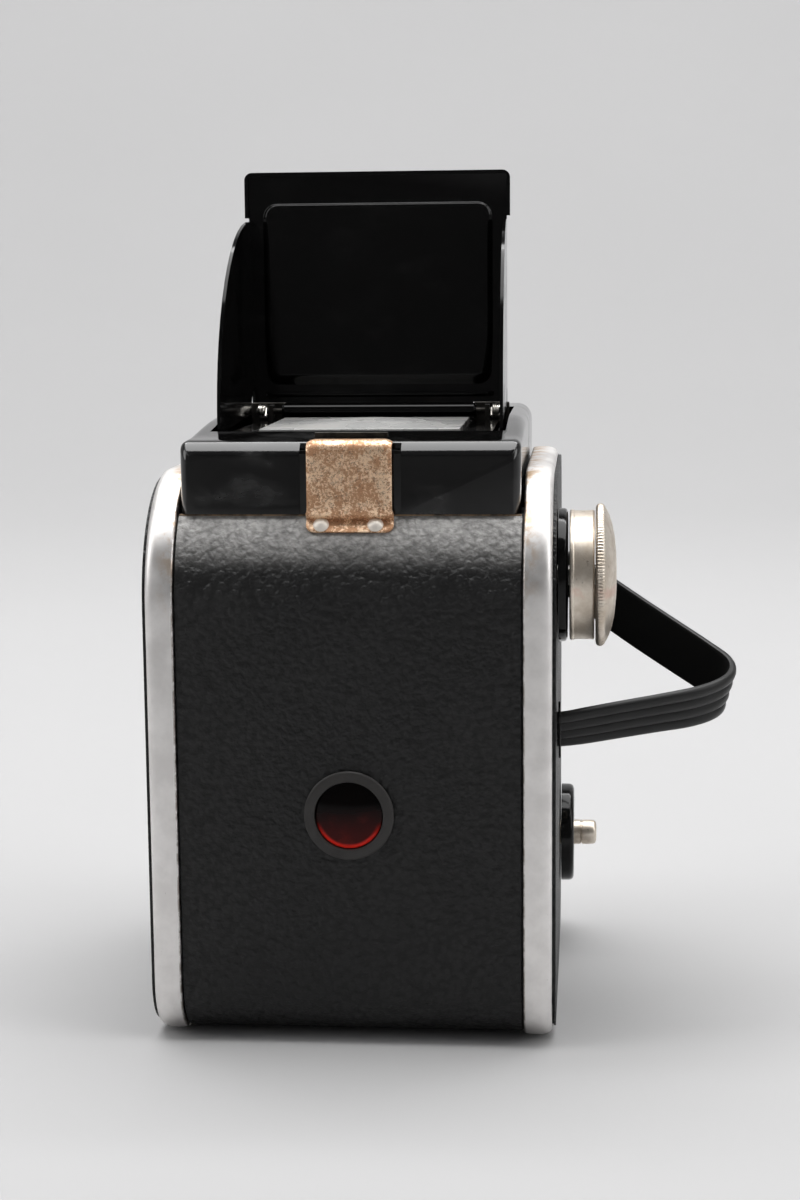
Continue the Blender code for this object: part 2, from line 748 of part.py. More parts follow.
def make_release():
    bezel = [(10.4, 2.9), (11.2, 2.1), (11.2, 0.0), (3.3, 0.0), (3.3, 2.9)]
    turned("release_bezel", bezel, (41.3, RELEASE_Y, RELEASE_Z), X_AXIS, "black_enamel")
    profile = [
        (0.0, 49.4),
        (2.3, 49.4),
        (2.85, 48.8),
        (2.85, 39.0),
        (4.2, 39.0),
        (4.2, 38.0),
        (1.5, 38.0),
        (1.5, 20.9),
        (0.0, 20.9),
    ]
    return turned("release_plunger", profile, (0, RELEASE_Y, RELEASE_Z), X_AXIS, "nickel", 24)


def make_shutter():
    outline = rounded_rectangle((-30, 21), (30, 77), (3, 3, 3, 3))
    plate("shutter_plate", [outline, circle((0, TAKING_Z), 4.5)], 85.2, 86.2, "brass", "XZ")
    pivot = (SHUTTER_PIVOT_X, SHUTTER_PIVOT_Z)
    pin_ends = [(pivot[0], y, pivot[1]) for y in (82.6, 84.9)]
    rod("shutter_pivot", *pin_ends, 1.2, sides=16)
    head = (0.0, TAKING_Z)
    lean = math.degrees(math.atan2(head[1] - pivot[1], head[0] - pivot[0]))
    outline = arc(head, 7.5, lean - 80, lean + 80, 12) + arc(pivot, 4.0, lean + 100, lean + 260, 10)
    blade = plate("shutter_blade", [outline, circle(pivot, 1.5, 16)], *SHUTTER_Y, "steel", "XZ")
    tab = box("blade_tab", (19.4, 75.0, 23.6), (20.4, SHUTTER_Y[1], 28.1))
    join(blade, tab)
    coil = [(3.0, 0.8), (3.0, 0.0), (1.5, 0.0), (1.5, 0.8)]
    turned("shutter_spring", coil, (pivot[0], 82.5, pivot[1]), Y_AXIS, "steel", 16)
    return blade


# ---------------------------------------------------------------- the back cover


def make_back_cover():
    top_angle = joint_angle(0, RAIL_JOINT_Y)
    rails = []
    inner_angle = joint_angle(RAIL_THICK, RAIL_JOINT_Y)
    outline = band(cover_path(0, top_angle), cover_path(RAIL_THICK, inner_angle))
    rails.append(plate("back_rail_left", [outline], -RAIL_OUTER_X, -RAIL_INNER_X, "aluminium"))
    rails.append(plate("back_rail_right", [outline], RAIL_INNER_X, RAIL_OUTER_X, "aluminium"))

    inner = SHEET_INSET + SHEET_THICK
    outline = band(
        cover_path(SHEET_INSET, joint_angle(SHEET_INSET, RAIL_JOINT_Y)),
        cover_path(inner, joint_angle(inner, RAIL_JOINT_Y)),
    )
    sheet = plate("back_sheet", [outline], -SHEET_X, SHEET_X, "black_paint")
    ears = []
    for side in (-1, 1):
        low, high = sorted((side * 36.8, side * 38.0))
        pin = [(x, COVER_PIN_Y, COVER_PIN_Z) for x in (low, high)]
        ears.append(rod("cover_ear", *pin, 2.3, sides=20))
    join(sheet, *ears)
    cut(
        sheet,
        box("sheet_top_space", (-FILL_X - 0.3, 0, SKIN_TOP_Z), (FILL_X + 0.3, 40, 130)),
        rod("sheet_window", (0, -5, WINDOW_Z), (0, 10, WINDOW_Z), WINDOW_RADIUS + GAP),
    )
    for side in (-1, 1):
        ends = [(side * x, COVER_PIN_Y, COVER_PIN_Z) for x in (36.0, 39.0)]
        cut(sheet, rod("ear_pin_bore", *ends, 1.3, sides=20))

    centre, radius = CORNERS["rear_top"]
    inner = SKIN_INSET + SKIN_THICK
    skin_top = 180 - math.degrees(math.asin((SKIN_TOP_Z - centre[1]) / (radius - SKIN_INSET)))
    outline = band(cover_path(SKIN_INSET, skin_top), cover_path(inner, skin_top))
    skin = plate("back_leatherette", [outline], -FILL_X, FILL_X, "leatherette")
    cut(skin, rod("skin_window", (0, -5, WINDOW_Z), (0, 10, WINDOW_Z), WINDOW_RADIUS + GAP))

    ring_inner = WINDOW_RADIUS + 0.2
    outer = WINDOW_RING_RADIUS
    profile = [(outer - 0.3, 0.7), (outer, 0.0), (ring_inner, 0.0), (ring_inner, 0.9)]
    ring = turned("window_ring", profile, (0, 0.3, WINDOW_Z), -Y_AXIS, "black_paint", 40)
    profile = dome_profile(WINDOW_RADIUS, 1.0) + [(WINDOW_RADIUS, -2.2), (0.0, -2.2)]
    glass = turned("window_glass", profile, (0, 0.2, WINDOW_Z), -Y_AXIS, "ruby_glass")
    return [*rails, sheet, skin, ring, glass]


def clip_path(offset):
    """Side view of the latch clip: a foot on the curved leatherette, an upright face, and a lip."""
    centre, radius = CORNERS["rear_top"]
    foot_radius = radius - SKIN_INSET + GAP + offset
    foot = arc(centre, foot_radius, 180 - 34.9, 180 - 41.5, 3)
    face_y = 6.6 - offset
    lip_z = CLIP_LIP_Z + offset
    bend = arc((face_y + 1.6 + offset, lip_z - 1.6 - offset), 1.6 + offset, 180, 90, 5)
    return foot + [(face_y, 108.6)] + bend + [(CLIP_LIP_END_Y, lip_z)]


def make_latch_clip():
    outline = band(clip_path(CLIP_THICK), clip_path(0.0))
    middle, wide, narrow = CLIP_OFF_CENTRE, CLIP_FLANGE_X, CLIP_FACE_X
    clip = plate("latch_clip", [outline], middle - wide, middle + wide, "rusty_steel")
    shoulder, edge = 108.4, wide + 1
    cut(
        clip,
        box("clip_shoulder_left", (middle - edge, 0, shoulder), (middle - narrow, 20, 130)),
        box("clip_shoulder_right", (middle + narrow, 0, shoulder), (middle + edge, 20, 130)),
    )
    return clip


def make_latch_rivets():
    """Domed rivets that hold the clip's foot to the back cover."""
    centre, radius = CORNERS["rear_top"]
    slope = math.radians(180 - 37.4)
    normal = Vector((0, math.cos(slope), math.sin(slope)))
    reach = radius - SKIN_INSET + GAP + CLIP_THICK + 0.12
    y, z = centre[0] + reach * normal.y, centre[1] + reach * normal.z
    head = [(0.0, 0.75), (0.7, 0.62), (1.2, 0.3), (1.4, 0.0), (0.0, 0.0)]
    return [
        turned(name, head, (x, y, z), normal, "steel", 20)
        for name, x in (("latch_rivet_left", -5.4), ("latch_rivet_right", 5.4))
    ]


# ---------------------------------------------------------------- the strap

# Centre line of the strap between its two slots, with the direction of its width
STRAP_ROUTE = (
    ((42.3, 19.8, 61.8), (0.00, -0.68, 0.73)),
    ((47.0, 21.0, 62.3), (0.04, -0.64, 0.77)),
    ((54.0, 23.4, 63.1), (0.10, -0.60, 0.79)),
    ((62.0, 26.6, 63.9), (0.15, -0.56, 0.81)),
    ((69.4, 30.2, 64.6), (0.18, -0.50, 0.85)),
    ((74.4, 34.2, 65.6), (0.20, -0.44, 0.88)),
    ((76.5, 38.4, 66.8), (0.22, -0.38, 0.90)),
    ((75.8, 42.6, 68.5), (0.26, -0.33, 0.91)),
    ((71.6, 46.6, 70.9), (0.31, -0.28, 0.91)),
    ((65.3, 51.8, 74.3), (0.34, -0.25, 0.91)),
    ((58.3, 57.8, 78.1), (0.34, -0.23, 0.91)),
    ((51.9, 63.4, 81.8), (0.30, -0.23, 0.93)),
    ((46.5, 68.4, 85.2), (0.16, -0.28, 0.94)),
    ((42.4, 71.6, 87.1), (0.00, -0.34, 0.94)),
)


def catmull(points, steps):
    """A smooth curve through the points."""
    padded = [2 * points[0] - points[1], *points, 2 * points[-1] - points[-2]]
    made = []
    for a, b, c, d in zip(padded, padded[1:], padded[2:], padded[3:]):
        for i in range(steps):
            t = i / steps
            square = (2 * a - 5 * b + 4 * c - d) * t**2
            cube = (3 * b - a - 3 * c + d) * t**3
            made.append(0.5 * (2 * b + (c - a) * t + square + cube))
    return made + [points[-1]]


def strap_end(end, x):
    """Centre and width direction of the strap where it passes straight through the side."""
    return Vector((x, end[0], end[1])), Vector((0, *strap_direction(end)))


def make_strap():
    """Flat strap swept along its route, with a thick stop behind the side panel at each end."""
    route = [(Vector(centre), Vector(width)) for centre, width in STRAP_ROUTE]
    route = [strap_end(STRAP_REAR, 39.0), *route, strap_end(STRAP_FRONT, 39.0)]
    centres = catmull([centre for centre, _ in route], 3)
    widths = catmull([width for _, width in route], 3)
    sections = []
    for i, (centre, width) in enumerate(zip(centres, widths)):
        ahead = centres[min(i + 1, len(centres) - 1)] - centres[max(i - 1, 0)]
        if i in (0, len(centres) - 1):
            ahead = Vector((1 if i == 0 else -1, 0, 0))
        ahead.normalize()
        width = (width - width.dot(ahead) * ahead).normalized()
        sections.append((centre, width, ahead.cross(width), STRAP_THICK))
    stops = []
    for centre, width, normal, _ in (sections[0], sections[-1]):
        inner = Vector((37.4, centre.y, centre.z))
        stops.append([(centre, width, normal, STRAP_STOP_THICK), (inner, width, normal, STRAP_STOP_THICK)])
    sections = stops[0][::-1] + sections + stops[1]
    bm = bmesh.new()
    rings = []
    for centre, width, normal, thick in sections:
        u, v = width * STRAP_WIDTH / 2, normal * thick / 2
        rings.append([bm.verts.new(centre + p) for p in (u + v, u - v, -u - v, -u + v)])
    for a, b in zip(rings, rings[1:]):
        for i in range(4):
            j = (i + 1) % 4
            bm.faces.new((a[i], a[j], b[j], b[i]))
    bm.faces.new(rings[0][::-1])
    bm.faces.new(rings[-1])
    from_bmesh("strap", bm, "vinyl")


def make_strap_plates():
    """Thin plates round the slots that the strap's ends pass through."""
    for name, end in (("strap_plate_rear", STRAP_REAR), ("strap_plate_front", STRAP_FRONT)):
        outlines = [strap_outline(end, 15.6, 5.6, 2.4), strap_outline(end, *STRAP_SLOT, 0.8)]
        plate(name, outlines, CASE_WIDTH / 2 + GAP, CASE_WIDTH / 2 + GAP + 0.5, "black_enamel")


# ---------------------------------------------------------------- everything


def make_camera():
    make_side_panels()
    make_case_shell()
    make_base_plate()
    make_tripod_bush()
    make_front_rails()
    make_front_plate()
    make_finder_housing()
    make_glass_frame()
    make_latch_catch()
    make_cover_pins()
    make_finder_mask()
    make_finder_lens()
    make_mirror()
    make_lens("taking_lens", TAKING_Z, 90.0, 6.6, 1.0)
    make_lens("viewing_lens", VIEWING_Z, 91.5, 9.1, 1.6)
    make_lens_rings()
    make_hood_hinge()
    make_chamber_roof()
    make_light_cone()
    make_film_gate()
    make_spool_pins()
    make_strap()
    make_strap_plates()

    hang(axis_empty("hood_axis", 0, HOOD_AXIS_Y, HOOD_AXIS_Z), make_hood())
    cover_axis = axis_empty("cover_axis", 0, COVER_PIN_Y, COVER_PIN_Z)
    hang(cover_axis, *make_back_cover())
    hang(axis_empty("clip_axis", 0, CLIP_AXIS_Y, CLIP_AXIS_Z), make_latch_clip(), *make_latch_rivets())
    hang(axis_empty("wind_axis", 0, WIND_Y, WIND_Z), *make_winder(), make_takeup_spool())
    hang(axis_empty("release_axis", 0, RELEASE_Y, RELEASE_Z), make_release())
    hang(axis_empty("shutter_axis", SHUTTER_PIVOT_X, SHUTTER_Y[0], SHUTTER_PIVOT_Z), make_shutter())
    for name, roller in make_rollers().items():
        hang(axis_empty(name + "_axis", 0, ROLLER_Y, ROLLERS_Z[name]), roller)


make_camera()
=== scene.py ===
import json
import math

import bmesh
import bpy
from mathutils import Matrix, Vector


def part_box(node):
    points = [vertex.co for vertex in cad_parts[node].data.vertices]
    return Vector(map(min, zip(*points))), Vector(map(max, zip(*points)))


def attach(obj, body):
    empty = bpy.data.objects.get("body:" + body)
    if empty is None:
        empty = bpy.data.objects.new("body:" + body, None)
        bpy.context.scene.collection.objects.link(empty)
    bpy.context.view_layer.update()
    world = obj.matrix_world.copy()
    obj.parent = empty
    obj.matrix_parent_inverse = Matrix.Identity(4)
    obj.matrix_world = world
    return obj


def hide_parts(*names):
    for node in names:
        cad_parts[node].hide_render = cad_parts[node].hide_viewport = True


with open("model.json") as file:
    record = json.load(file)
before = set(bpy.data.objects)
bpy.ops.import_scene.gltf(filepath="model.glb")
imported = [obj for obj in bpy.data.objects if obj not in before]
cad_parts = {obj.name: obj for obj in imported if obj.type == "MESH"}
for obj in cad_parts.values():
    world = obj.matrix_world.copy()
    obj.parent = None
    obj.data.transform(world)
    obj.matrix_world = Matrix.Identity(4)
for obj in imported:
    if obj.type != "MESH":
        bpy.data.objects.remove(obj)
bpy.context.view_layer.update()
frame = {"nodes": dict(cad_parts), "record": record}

# Looks of a box camera for 6 x 6 cm roll film, seen from behind with its finder hood open.
# Lengths are in millimetres in the row frame: X to the right, Y forwards, Z up.

MM = 0.001
RECORD = frame["record"]
BODY_OF = {node: body for body, nodes in RECORD["behaviour"]["bodies"].items() for node in nodes}
SLOT_OF = {part["node"]: part["material_slot"] for part in RECORD["subparts"]}
X_AXIS, Y_AXIS, Z_AXIS = Vector((1, 0, 0)), Vector((0, 1, 0)), Vector((0, 0, 1))
done = set()


def low(node):
    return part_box(node)[0] / MM


def high(node):
    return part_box(node)[1] / MM


def middle(node):
    return (low(node) + high(node)) / 2


def radius_of(node):
    return (high(node).z - low(node).z) / 2


# ---- node materials


class Surface:
    """A Principled material under construction. Textures are placed in the row frame, sizes in mm."""

    def __init__(self, name, colour, roughness, metallic=0.0):
        self.material = bpy.data.materials.new(name)
        self.material.use_nodes = True
        self.tree = self.material.node_tree
        self.shader = self.tree.nodes["Principled BSDF"]
        self.set("Base Color", (*colour, 1))
        self.set("Roughness", roughness)
        self.set("Metallic", metallic)
        self.coordinates = self.add("ShaderNodeTexCoord").outputs["Object"]

    def add(self, kind, **settings):
        node = self.tree.nodes.new(kind)
        for key, value in settings.items():
            setattr(node, key, value)
        return node

    def put(self, socket, value):
        """Connects a value that is a socket, or sets one that is a number or a colour."""
        if isinstance(value, bpy.types.NodeSocket):
            self.tree.links.new(value, socket)
        else:
            socket.default_value = value

    def set(self, name, value):
        self.put(self.shader.inputs[name], value)

    def noise(self, size, detail=3.0, roughness=0.5, stretch=(1, 1, 1), output="Fac"):
        where = self.coordinates
        if stretch != (1, 1, 1):
            mapping = self.add("ShaderNodeMapping")
            mapping.inputs["Scale"].default_value = [1 / s for s in stretch]
            self.put(mapping.inputs["Vector"], where)
            where = mapping.outputs["Vector"]
        node = self.add("ShaderNodeTexNoise")
        self.put(node.inputs["Vector"], where)
        node.inputs["Scale"].default_value = 1000 / size
        node.inputs["Detail"].default_value = detail
        node.inputs["Roughness"].default_value = roughness
        return node.outputs[output]

    def cells(self, size, feature="F1", where=None):
        node = self.add("ShaderNodeTexVoronoi", feature=feature)
        self.put(node.inputs["Vector"], where or self.coordinates)
        node.inputs["Scale"].default_value = 1000 / size
        return node.outputs["Distance"]

    def warped(self, size, amount):
        """The coordinates, shifted about by a noise of this size."""
        centred = self.add("ShaderNodeVectorMath", operation="SUBTRACT")
        self.put(centred.inputs[0], self.noise(size, 2.0, output="Color"))
        centred.inputs[1].default_value = (0.5, 0.5, 0.5)
        scaled = self.add("ShaderNodeVectorMath", operation="SCALE")
        self.put(scaled.inputs[0], centred.outputs[0])
        scaled.inputs["Scale"].default_value = amount * MM
        moved = self.add("ShaderNodeVectorMath", operation="ADD")
        self.put(moved.inputs[0], scaled.outputs[0])
        self.put(moved.inputs[1], self.coordinates)
        return moved.outputs[0]

    def ramp(self, value, start, end, low_value=0.0, high_value=1.0):
        """Maps start..end smoothly to low_value..high_value."""
        node = self.add("ShaderNodeMapRange", interpolation_type="SMOOTHSTEP", clamp=True)
        self.put(node.inputs["Value"], value)
        limits = {"From Min": start, "From Max": end, "To Min": low_value, "To Max": high_value}
        for key, number in limits.items():
            node.inputs[key].default_value = number
        return node.outputs["Result"]

    def math(self, operation, a, b):
        node = self.add("ShaderNodeMath", operation=operation)
        self.put(node.inputs[0], a)
        self.put(node.inputs[1], b)
        return node.outputs["Value"]

    def times(self, a, b):
        return self.math("MULTIPLY", a, b)

    def mix(self, factor, a, b):
        node = self.add("ShaderNodeMix", data_type="RGBA")
        self.put(node.inputs[0], factor)
        for socket, value in ((node.inputs[6], a), (node.inputs[7], b)):
            self.put(socket, value if isinstance(value, bpy.types.NodeSocket) else (*value, 1))
        return node.outputs[2]

    def axis(self, index):
        """One coordinate of the row frame, in metres."""
        node = self.add("ShaderNodeSeparateXYZ")
        self.put(node.inputs[0], self.coordinates)
        return node.outputs[index]

    def bump(self, height, strength, depth, under=None):
        node = self.add("ShaderNodeBump")
        node.inputs["Strength"].default_value = strength
        node.inputs["Distance"].default_value = depth * MM
        self.put(node.inputs["Height"], height)
        if under is not None:
            self.put(node.inputs["Normal"], under)
        return node.outputs["Normal"]


def leatherette(name="leatherette_grain", painted_top_highlight=False):
    """Black pebble-grain cloth with painted shade in the creases between pebbles, and, where asked, a
    painted highlight: pale grey on the raised pebbles of its upper bend.
    """
    s = Surface(name, (0.008, 0.008, 0.008), 0.5)
    where = s.warped(1.8, 1.0)
    pebble = s.ramp(s.cells(1.25, "SMOOTH_F1", where), 0.75, 0.12)
    small = s.ramp(s.cells(0.65, "SMOOTH_F1", s.warped(1.0, 0.5)), 0.8, 0.1)
    wrinkle = s.noise(2.0, 5, 0.62, (1.2, 1, 0.9))
    height = s.math("ADD", s.times(pebble, 0.75), s.times(wrinkle, 2.0))
    height = s.math("ADD", height, s.times(small, 0.35))
    broad = s.noise(24, 3)
    tone = s.mix(s.ramp(broad, 0.3, 0.7), (0.0075, 0.0075, 0.0078), (0.0125, 0.0125, 0.0125))
    specks = s.ramp(s.noise(1.2, 5, 0.75), 0.71, 0.78)
    tone = s.mix(s.times(specks, 0.22), tone, (0.16, 0.15, 0.14))
    # Painted shade: the creases between the pebbles are darkened towards black.
    tone = s.mix(s.ramp(pebble, 0.0, 0.9), (0.004, 0.004, 0.004), tone)
    if painted_top_highlight:
        # Painted highlight: on the upper bend the raised pebbles are mixed, in patches, towards pale grey,
        # standing in for the overhead light.
        bend_start, bend_end = 0.0958, 0.1065
        shoulder = s.ramp(s.axis(2), bend_start, bend_end)
        patchy = s.ramp(s.noise(8, 3), 0.2, 0.7, 0.75, 1.0)
        highlight_on_pebbles = s.times(s.ramp(height, 0.6, 2.2, 0.45, 1.0), patchy)
        tone = s.mix(s.times(shoulder, highlight_on_pebbles), tone, (0.50, 0.49, 0.475))
    s.set("Base Color", tone)
    s.set("Roughness", s.ramp(broad, 0.3, 0.7, 0.38, 0.48))
    s.set("Specular IOR Level", 0.32)
    s.set("Normal", s.bump(height, 0.9, 0.3))
    return s.material


def enamel(name="gloss_enamel", smear_share=0.02, gloss=0.3):
    """Gloss black stoving enamel with dust and smears."""
    s = Surface(name, (0.0025, 0.0025, 0.0025), 0.12)
    dust = s.ramp(s.noise(0.55, 5, 0.8), 0.70, 0.80)
    smear = s.ramp(s.noise(14, 5, 0.65, (1, 1, 0.5)), 0.48, 0.72)
    colour = s.mix(s.times(dust, 0.10), (0.0022, 0.0021, 0.0021), (0.20, 0.19, 0.18))
    s.set("Base Color", s.mix(s.times(smear, smear_share), colour, (0.12, 0.12, 0.12)))
    rough = s.math("ADD", s.ramp(smear, 0, 1, 0.10, 0.20), s.times(dust, 0.25))
    s.set("Roughness", rough)
    wave = s.noise(7, 2)
    s.set("Normal", s.bump(s.noise(0.5, 3), 0.05, 0.05, s.bump(wave, 0.12, 0.12)))
    s.set("Specular IOR Level", gloss)
    return s.material


def matt_black(name="matt_black_paint", colour=(0.012, 0.012, 0.012)):
    """Matt black paint, rubbed through here and there."""
    s = Surface(name, colour, 0.6)
    wear = s.ramp(s.noise(6, 6, 0.7), 0.58, 0.74)
    s.set("Base Color", s.mix(s.times(wear, 0.3), colour, (0.06, 0.055, 0.05)))
    s.set("Roughness", s.ramp(s.noise(3, 3), 0.3, 0.7, 0.48, 0.68))
    s.set("Normal", s.bump(s.noise(0.35, 3), 0.25, 0.05))
    return s.material


def aluminium(name="worn_aluminium", stained=True):
    """Bright aluminium gone dull, with fine scratches, dents and brown stains near the finder."""
    s = Surface(name, (0.78, 0.78, 0.77), 0.3, 1.0)
    cloud = s.noise(9, 4, 0.6)
    colour = s.mix(s.ramp(cloud, 0.3, 0.7), (0.72, 0.70, 0.685), (0.87, 0.85, 0.835))
    pits = s.ramp(s.noise(1.3, 4, 0.7), 0.69, 0.76)
    colour = s.mix(s.times(pits, 0.45), colour, (0.16, 0.14, 0.12))
    if stained:
        height = s.ramp(s.axis(2), 0.082, 0.112)
        inner = s.ramp(s.math("ABSOLUTE", s.axis(0), 0), 0.0392, 0.0352)
        patches = s.ramp(s.noise(5, 6, 0.7), 0.42, 0.60)
        stain = s.times(s.times(height, inner), patches)
        colour = s.mix(s.times(stain, 0.85), colour, (0.50, 0.32, 0.16))
        seam = s.ramp(s.math("ABSOLUTE", s.axis(0), 0), 0.0351, 0.0347)
        seam = s.times(seam, s.ramp(s.noise(3, 4, 0.7), 0.35, 0.6))
        colour = s.mix(s.times(seam, 0.75), colour, (0.13, 0.09, 0.06))
    s.set("Base Color", colour)
    scratch = s.noise(0.5, 4, 0.7, (0.25, 2.2, 6.0))
    rough = s.ramp(cloud, 0.25, 0.75, 0.36, 0.50)
    s.set("Roughness", s.math("ADD", rough, s.ramp(scratch, 0.55, 0.8, 0, 0.12)))
    dents = s.bump(s.noise(3.5, 3), 0.10, 0.12)
    s.set("Normal", s.bump(scratch, 0.10, 0.03, dents))
    return s.material


def nickel():
    """Warm worn nickel plate with dark spots and a reddish smear."""
    s = Surface("worn_nickel", (0.66, 0.60, 0.52), 0.28, 1.0)
    cloud = s.noise(5, 5, 0.65)
    colour = s.mix(s.ramp(cloud, 0.3, 0.7), (0.58, 0.50, 0.41), (0.80, 0.73, 0.64))
    spots = s.ramp(s.noise(1.6, 5, 0.75), 0.60, 0.70)
    colour = s.mix(s.times(spots, 0.7), colour, (0.16, 0.12, 0.09))
    band_z = 0.0915
    band = s.ramp(s.math("ABSOLUTE", s.math("SUBTRACT", s.axis(2), band_z), 0), 0.0016, 0.0004)
    band = s.times(band, s.ramp(s.noise(3, 3), 0.35, 0.6))
    s.set("Base Color", s.mix(s.times(band, 0.28), colour, (0.55, 0.16, 0.10)))
    s.set("Roughness", s.math("ADD", s.ramp(cloud, 0.3, 0.7, 0.44, 0.34), s.times(spots, 0.2)))
    s.set("Normal", s.bump(s.noise(0.5, 4, 0.7), 0.12, 0.04))
    return s.material


def rust():
    """Thin plating over steel, mostly gone to mottled tan and brown rust."""
    s = Surface("rusty_plating", (0.40, 0.26, 0.16), 0.5, 0.6)
    coarse = s.noise(3.0, 6, 0.8)
    fine = s.noise(0.55, 5, 0.75)
    mixed = s.math("ADD", s.times(coarse, 0.5), s.times(fine, 0.5))
    colour = s.mix(s.ramp(mixed, 0.46, 0.52), (0.98, 0.73, 0.51), (0.52, 0.28, 0.15))
    dark = s.ramp(s.noise(0.8, 6, 0.8), 0.54, 0.60)
    s.set("Base Color", s.mix(s.times(dark, 0.65), colour, (0.18, 0.085, 0.045)))
    s.set("Metallic", s.ramp(mixed, 0.42, 0.60, 0.85, 0.45))
    s.set("Roughness", s.ramp(mixed, 0.40, 0.62, 0.36, 0.55))
    s.set("Normal", s.bump(fine, 0.3, 0.06))
    return s.material


def steel(name="plain_steel", colour=(0.62, 0.61, 0.59), rough=0.26):
    """Steel with darker, rougher clouds."""
    s = Surface(name, colour, rough, 1.0)
    cloud = s.noise(2.5, 5, 0.7)
    dark = tuple(0.55 * c for c in colour)
    s.set("Base Color", s.mix(s.ramp(cloud, 0.45, 0.68), colour, dark))
    s.set("Roughness", s.ramp(cloud, 0.3, 0.7, rough, rough + 0.16))
    s.set("Normal", s.bump(s.noise(0.4, 3), 0.1, 0.03))
    return s.material


def brass():
    """Dull brass with brown tarnish."""
    s = Surface("dull_brass", (0.62, 0.46, 0.20), 0.34, 1.0)
    cloud = s.noise(3, 5, 0.65)
    s.set("Base Color", s.mix(s.ramp(cloud, 0.4, 0.7), (0.66, 0.49, 0.22), (0.32, 0.21, 0.09)))
    s.set("Roughness", s.ramp(cloud, 0.3, 0.7, 0.28, 0.48))
    s.set("Normal", s.bump(s.noise(0.5, 3), 0.1, 0.03))
    return s.material


def vinyl():
    """Black vinyl, smooth on the inside, with a little dust."""
    s = Surface("ribbed_vinyl", (0.013, 0.013, 0.014), 0.36)
    cloud = s.noise(9, 4, 0.6)
    dust = s.ramp(s.noise(0.7, 5, 0.75), 0.64, 0.78)
    s.set("Base Color", s.mix(s.times(dust, 0.06), (0.009, 0.009, 0.009), (0.25, 0.24, 0.23)))
    s.set("Specular IOR Level", 0.3)
    s.set("Roughness", s.ramp(cloud, 0.3, 0.7, 0.34, 0.46))
    s.set("Normal", s.bump(s.noise(0.45, 4, 0.6), 0.18, 0.06))
    return s.material


def ruby():
    """Deep red window glass, with painted light: its upper half painted dark as shade and its lower rim
    painted bright red as a glow.
    """
    s = Surface("ruby_glass", (0.05, 0.003, 0.003), 0.07)
    z = middle("window_glass").z * MM
    radius = radius_of("window_glass") * MM
    # Painted shade: the glass goes near black towards the top and keeps its red towards the bottom.
    wavy = s.math("ADD", s.axis(2), s.times(s.noise(7, 3), 0.003))
    depth = s.ramp(wavy, z + radius * 0.55, z - radius * 0.6)
    cloud = s.ramp(s.noise(4, 4, 0.6), 0.45, 0.7)
    red = s.mix(cloud, (0.050, 0.0030, 0.0024), (0.11, 0.0070, 0.0050))
    # Painted glow: a bright red rim along the lower edge of the glass.
    across, up = s.axis(0), s.math("SUBTRACT", s.axis(2), z)
    reach = s.math("ADD", s.times(across, across), s.times(up, up))
    rim = s.ramp(reach, (0.84 * radius) ** 2, (0.96 * radius) ** 2)
    rim = s.times(rim, s.ramp(up, -0.15 * radius, -0.75 * radius))
    colour = s.mix(depth, (0.0015, 0.0008, 0.0008), red)
    s.set("Base Color", s.mix(rim, colour, (0.85, 0.030, 0.018)))
    s.set("Roughness", s.ramp(s.noise(2, 4), 0.3, 0.8, 0.05, 0.16))
    s.set("Specular IOR Level", 0.1)
    return s.material


def clear_glass(name, rough=0.02):
    """Clear moulded glass with a few smudges."""
    s = Surface(name, (0.90, 0.94, 0.94), rough)
    s.set("Transmission Weight", 1.0)
    s.set("IOR", 1.52)
    smudge = s.ramp(s.noise(6, 5, 0.7), 0.5, 0.8, rough, rough + 0.14)
    s.set("Roughness", smudge)
    s.set("Normal", s.bump(s.noise(4, 2), 0.03, 0.05))
    return s.material


def ground_glass():
    """Finder glass, milky enough to show the light that falls on it."""
    s = Surface("finder_glass", (0.80, 0.81, 0.80), 0.22)
    s.set("Transmission Weight", 0.3)
    s.set("IOR", 1.52)
    smudge = s.noise(9, 2, 0.4)
    s.set("Base Color", s.mix(s.ramp(smudge, 0.3, 0.8), (0.58, 0.58, 0.57), (0.54, 0.53, 0.51)))
    s.set("Roughness", s.ramp(smudge, 0.4, 0.7, 0.25, 0.4))
    return s.material


def silvered():
    """Surface mirror with spots where the silver has gone."""
    s = Surface("silvered_mirror", (0.86, 0.87, 0.88), 0.04, 1.0)
    spots = s.ramp(s.noise(4, 6, 0.75), 0.66, 0.74)
    s.set("Base Color", s.mix(spots, (0.86, 0.87, 0.88), (0.25, 0.24, 0.22)))
    s.set("Roughness", s.ramp(spots, 0, 1, 0.03, 0.3))
    return s.material


MATERIAL = {
    "leatherette": leatherette(),
    "black_enamel": enamel(gloss=0.22),
    "black_paint": matt_black(),
    "aluminium": aluminium(),
    "nickel": nickel(),
    "rusty_steel": rust(),
    "steel": steel(),
    "ruby_glass": ruby(),
    "glass": clear_glass("lens_glass"),
    "mirror": silvered(),
    "vinyl": vinyl(),
    "brass": brass(),
}


# ---- building pieces


def object_of(name, bm, material, scale=MM, sharp=32):
    """An object from a bmesh, its faces turned outwards and smoothed up to the sharp angle."""
    bmesh.ops.remove_doubles(bm, verts=bm.verts, dist=1e-3 * MM / scale)
    bmesh.ops.recalc_face_normals(bm, faces=bm.faces)
    if bm.calc_volume(signed=True) < 0:
        bmesh.ops.reverse_faces(bm, faces=bm.faces)
    mesh = bpy.data.meshes.new(name)
    bm.to_mesh(mesh)
    bm.free()
    mesh.transform(Matrix.Scale(scale, 4))
    mesh.materials.clear()
    mesh.materials.append(material)
    mesh.shade_smooth()
    mesh.set_sharp_from_angle(angle=math.radians(sharp))
    obj = bpy.data.objects.new(name, mesh)
    bpy.context.scene.collection.objects.link(obj)
    return obj


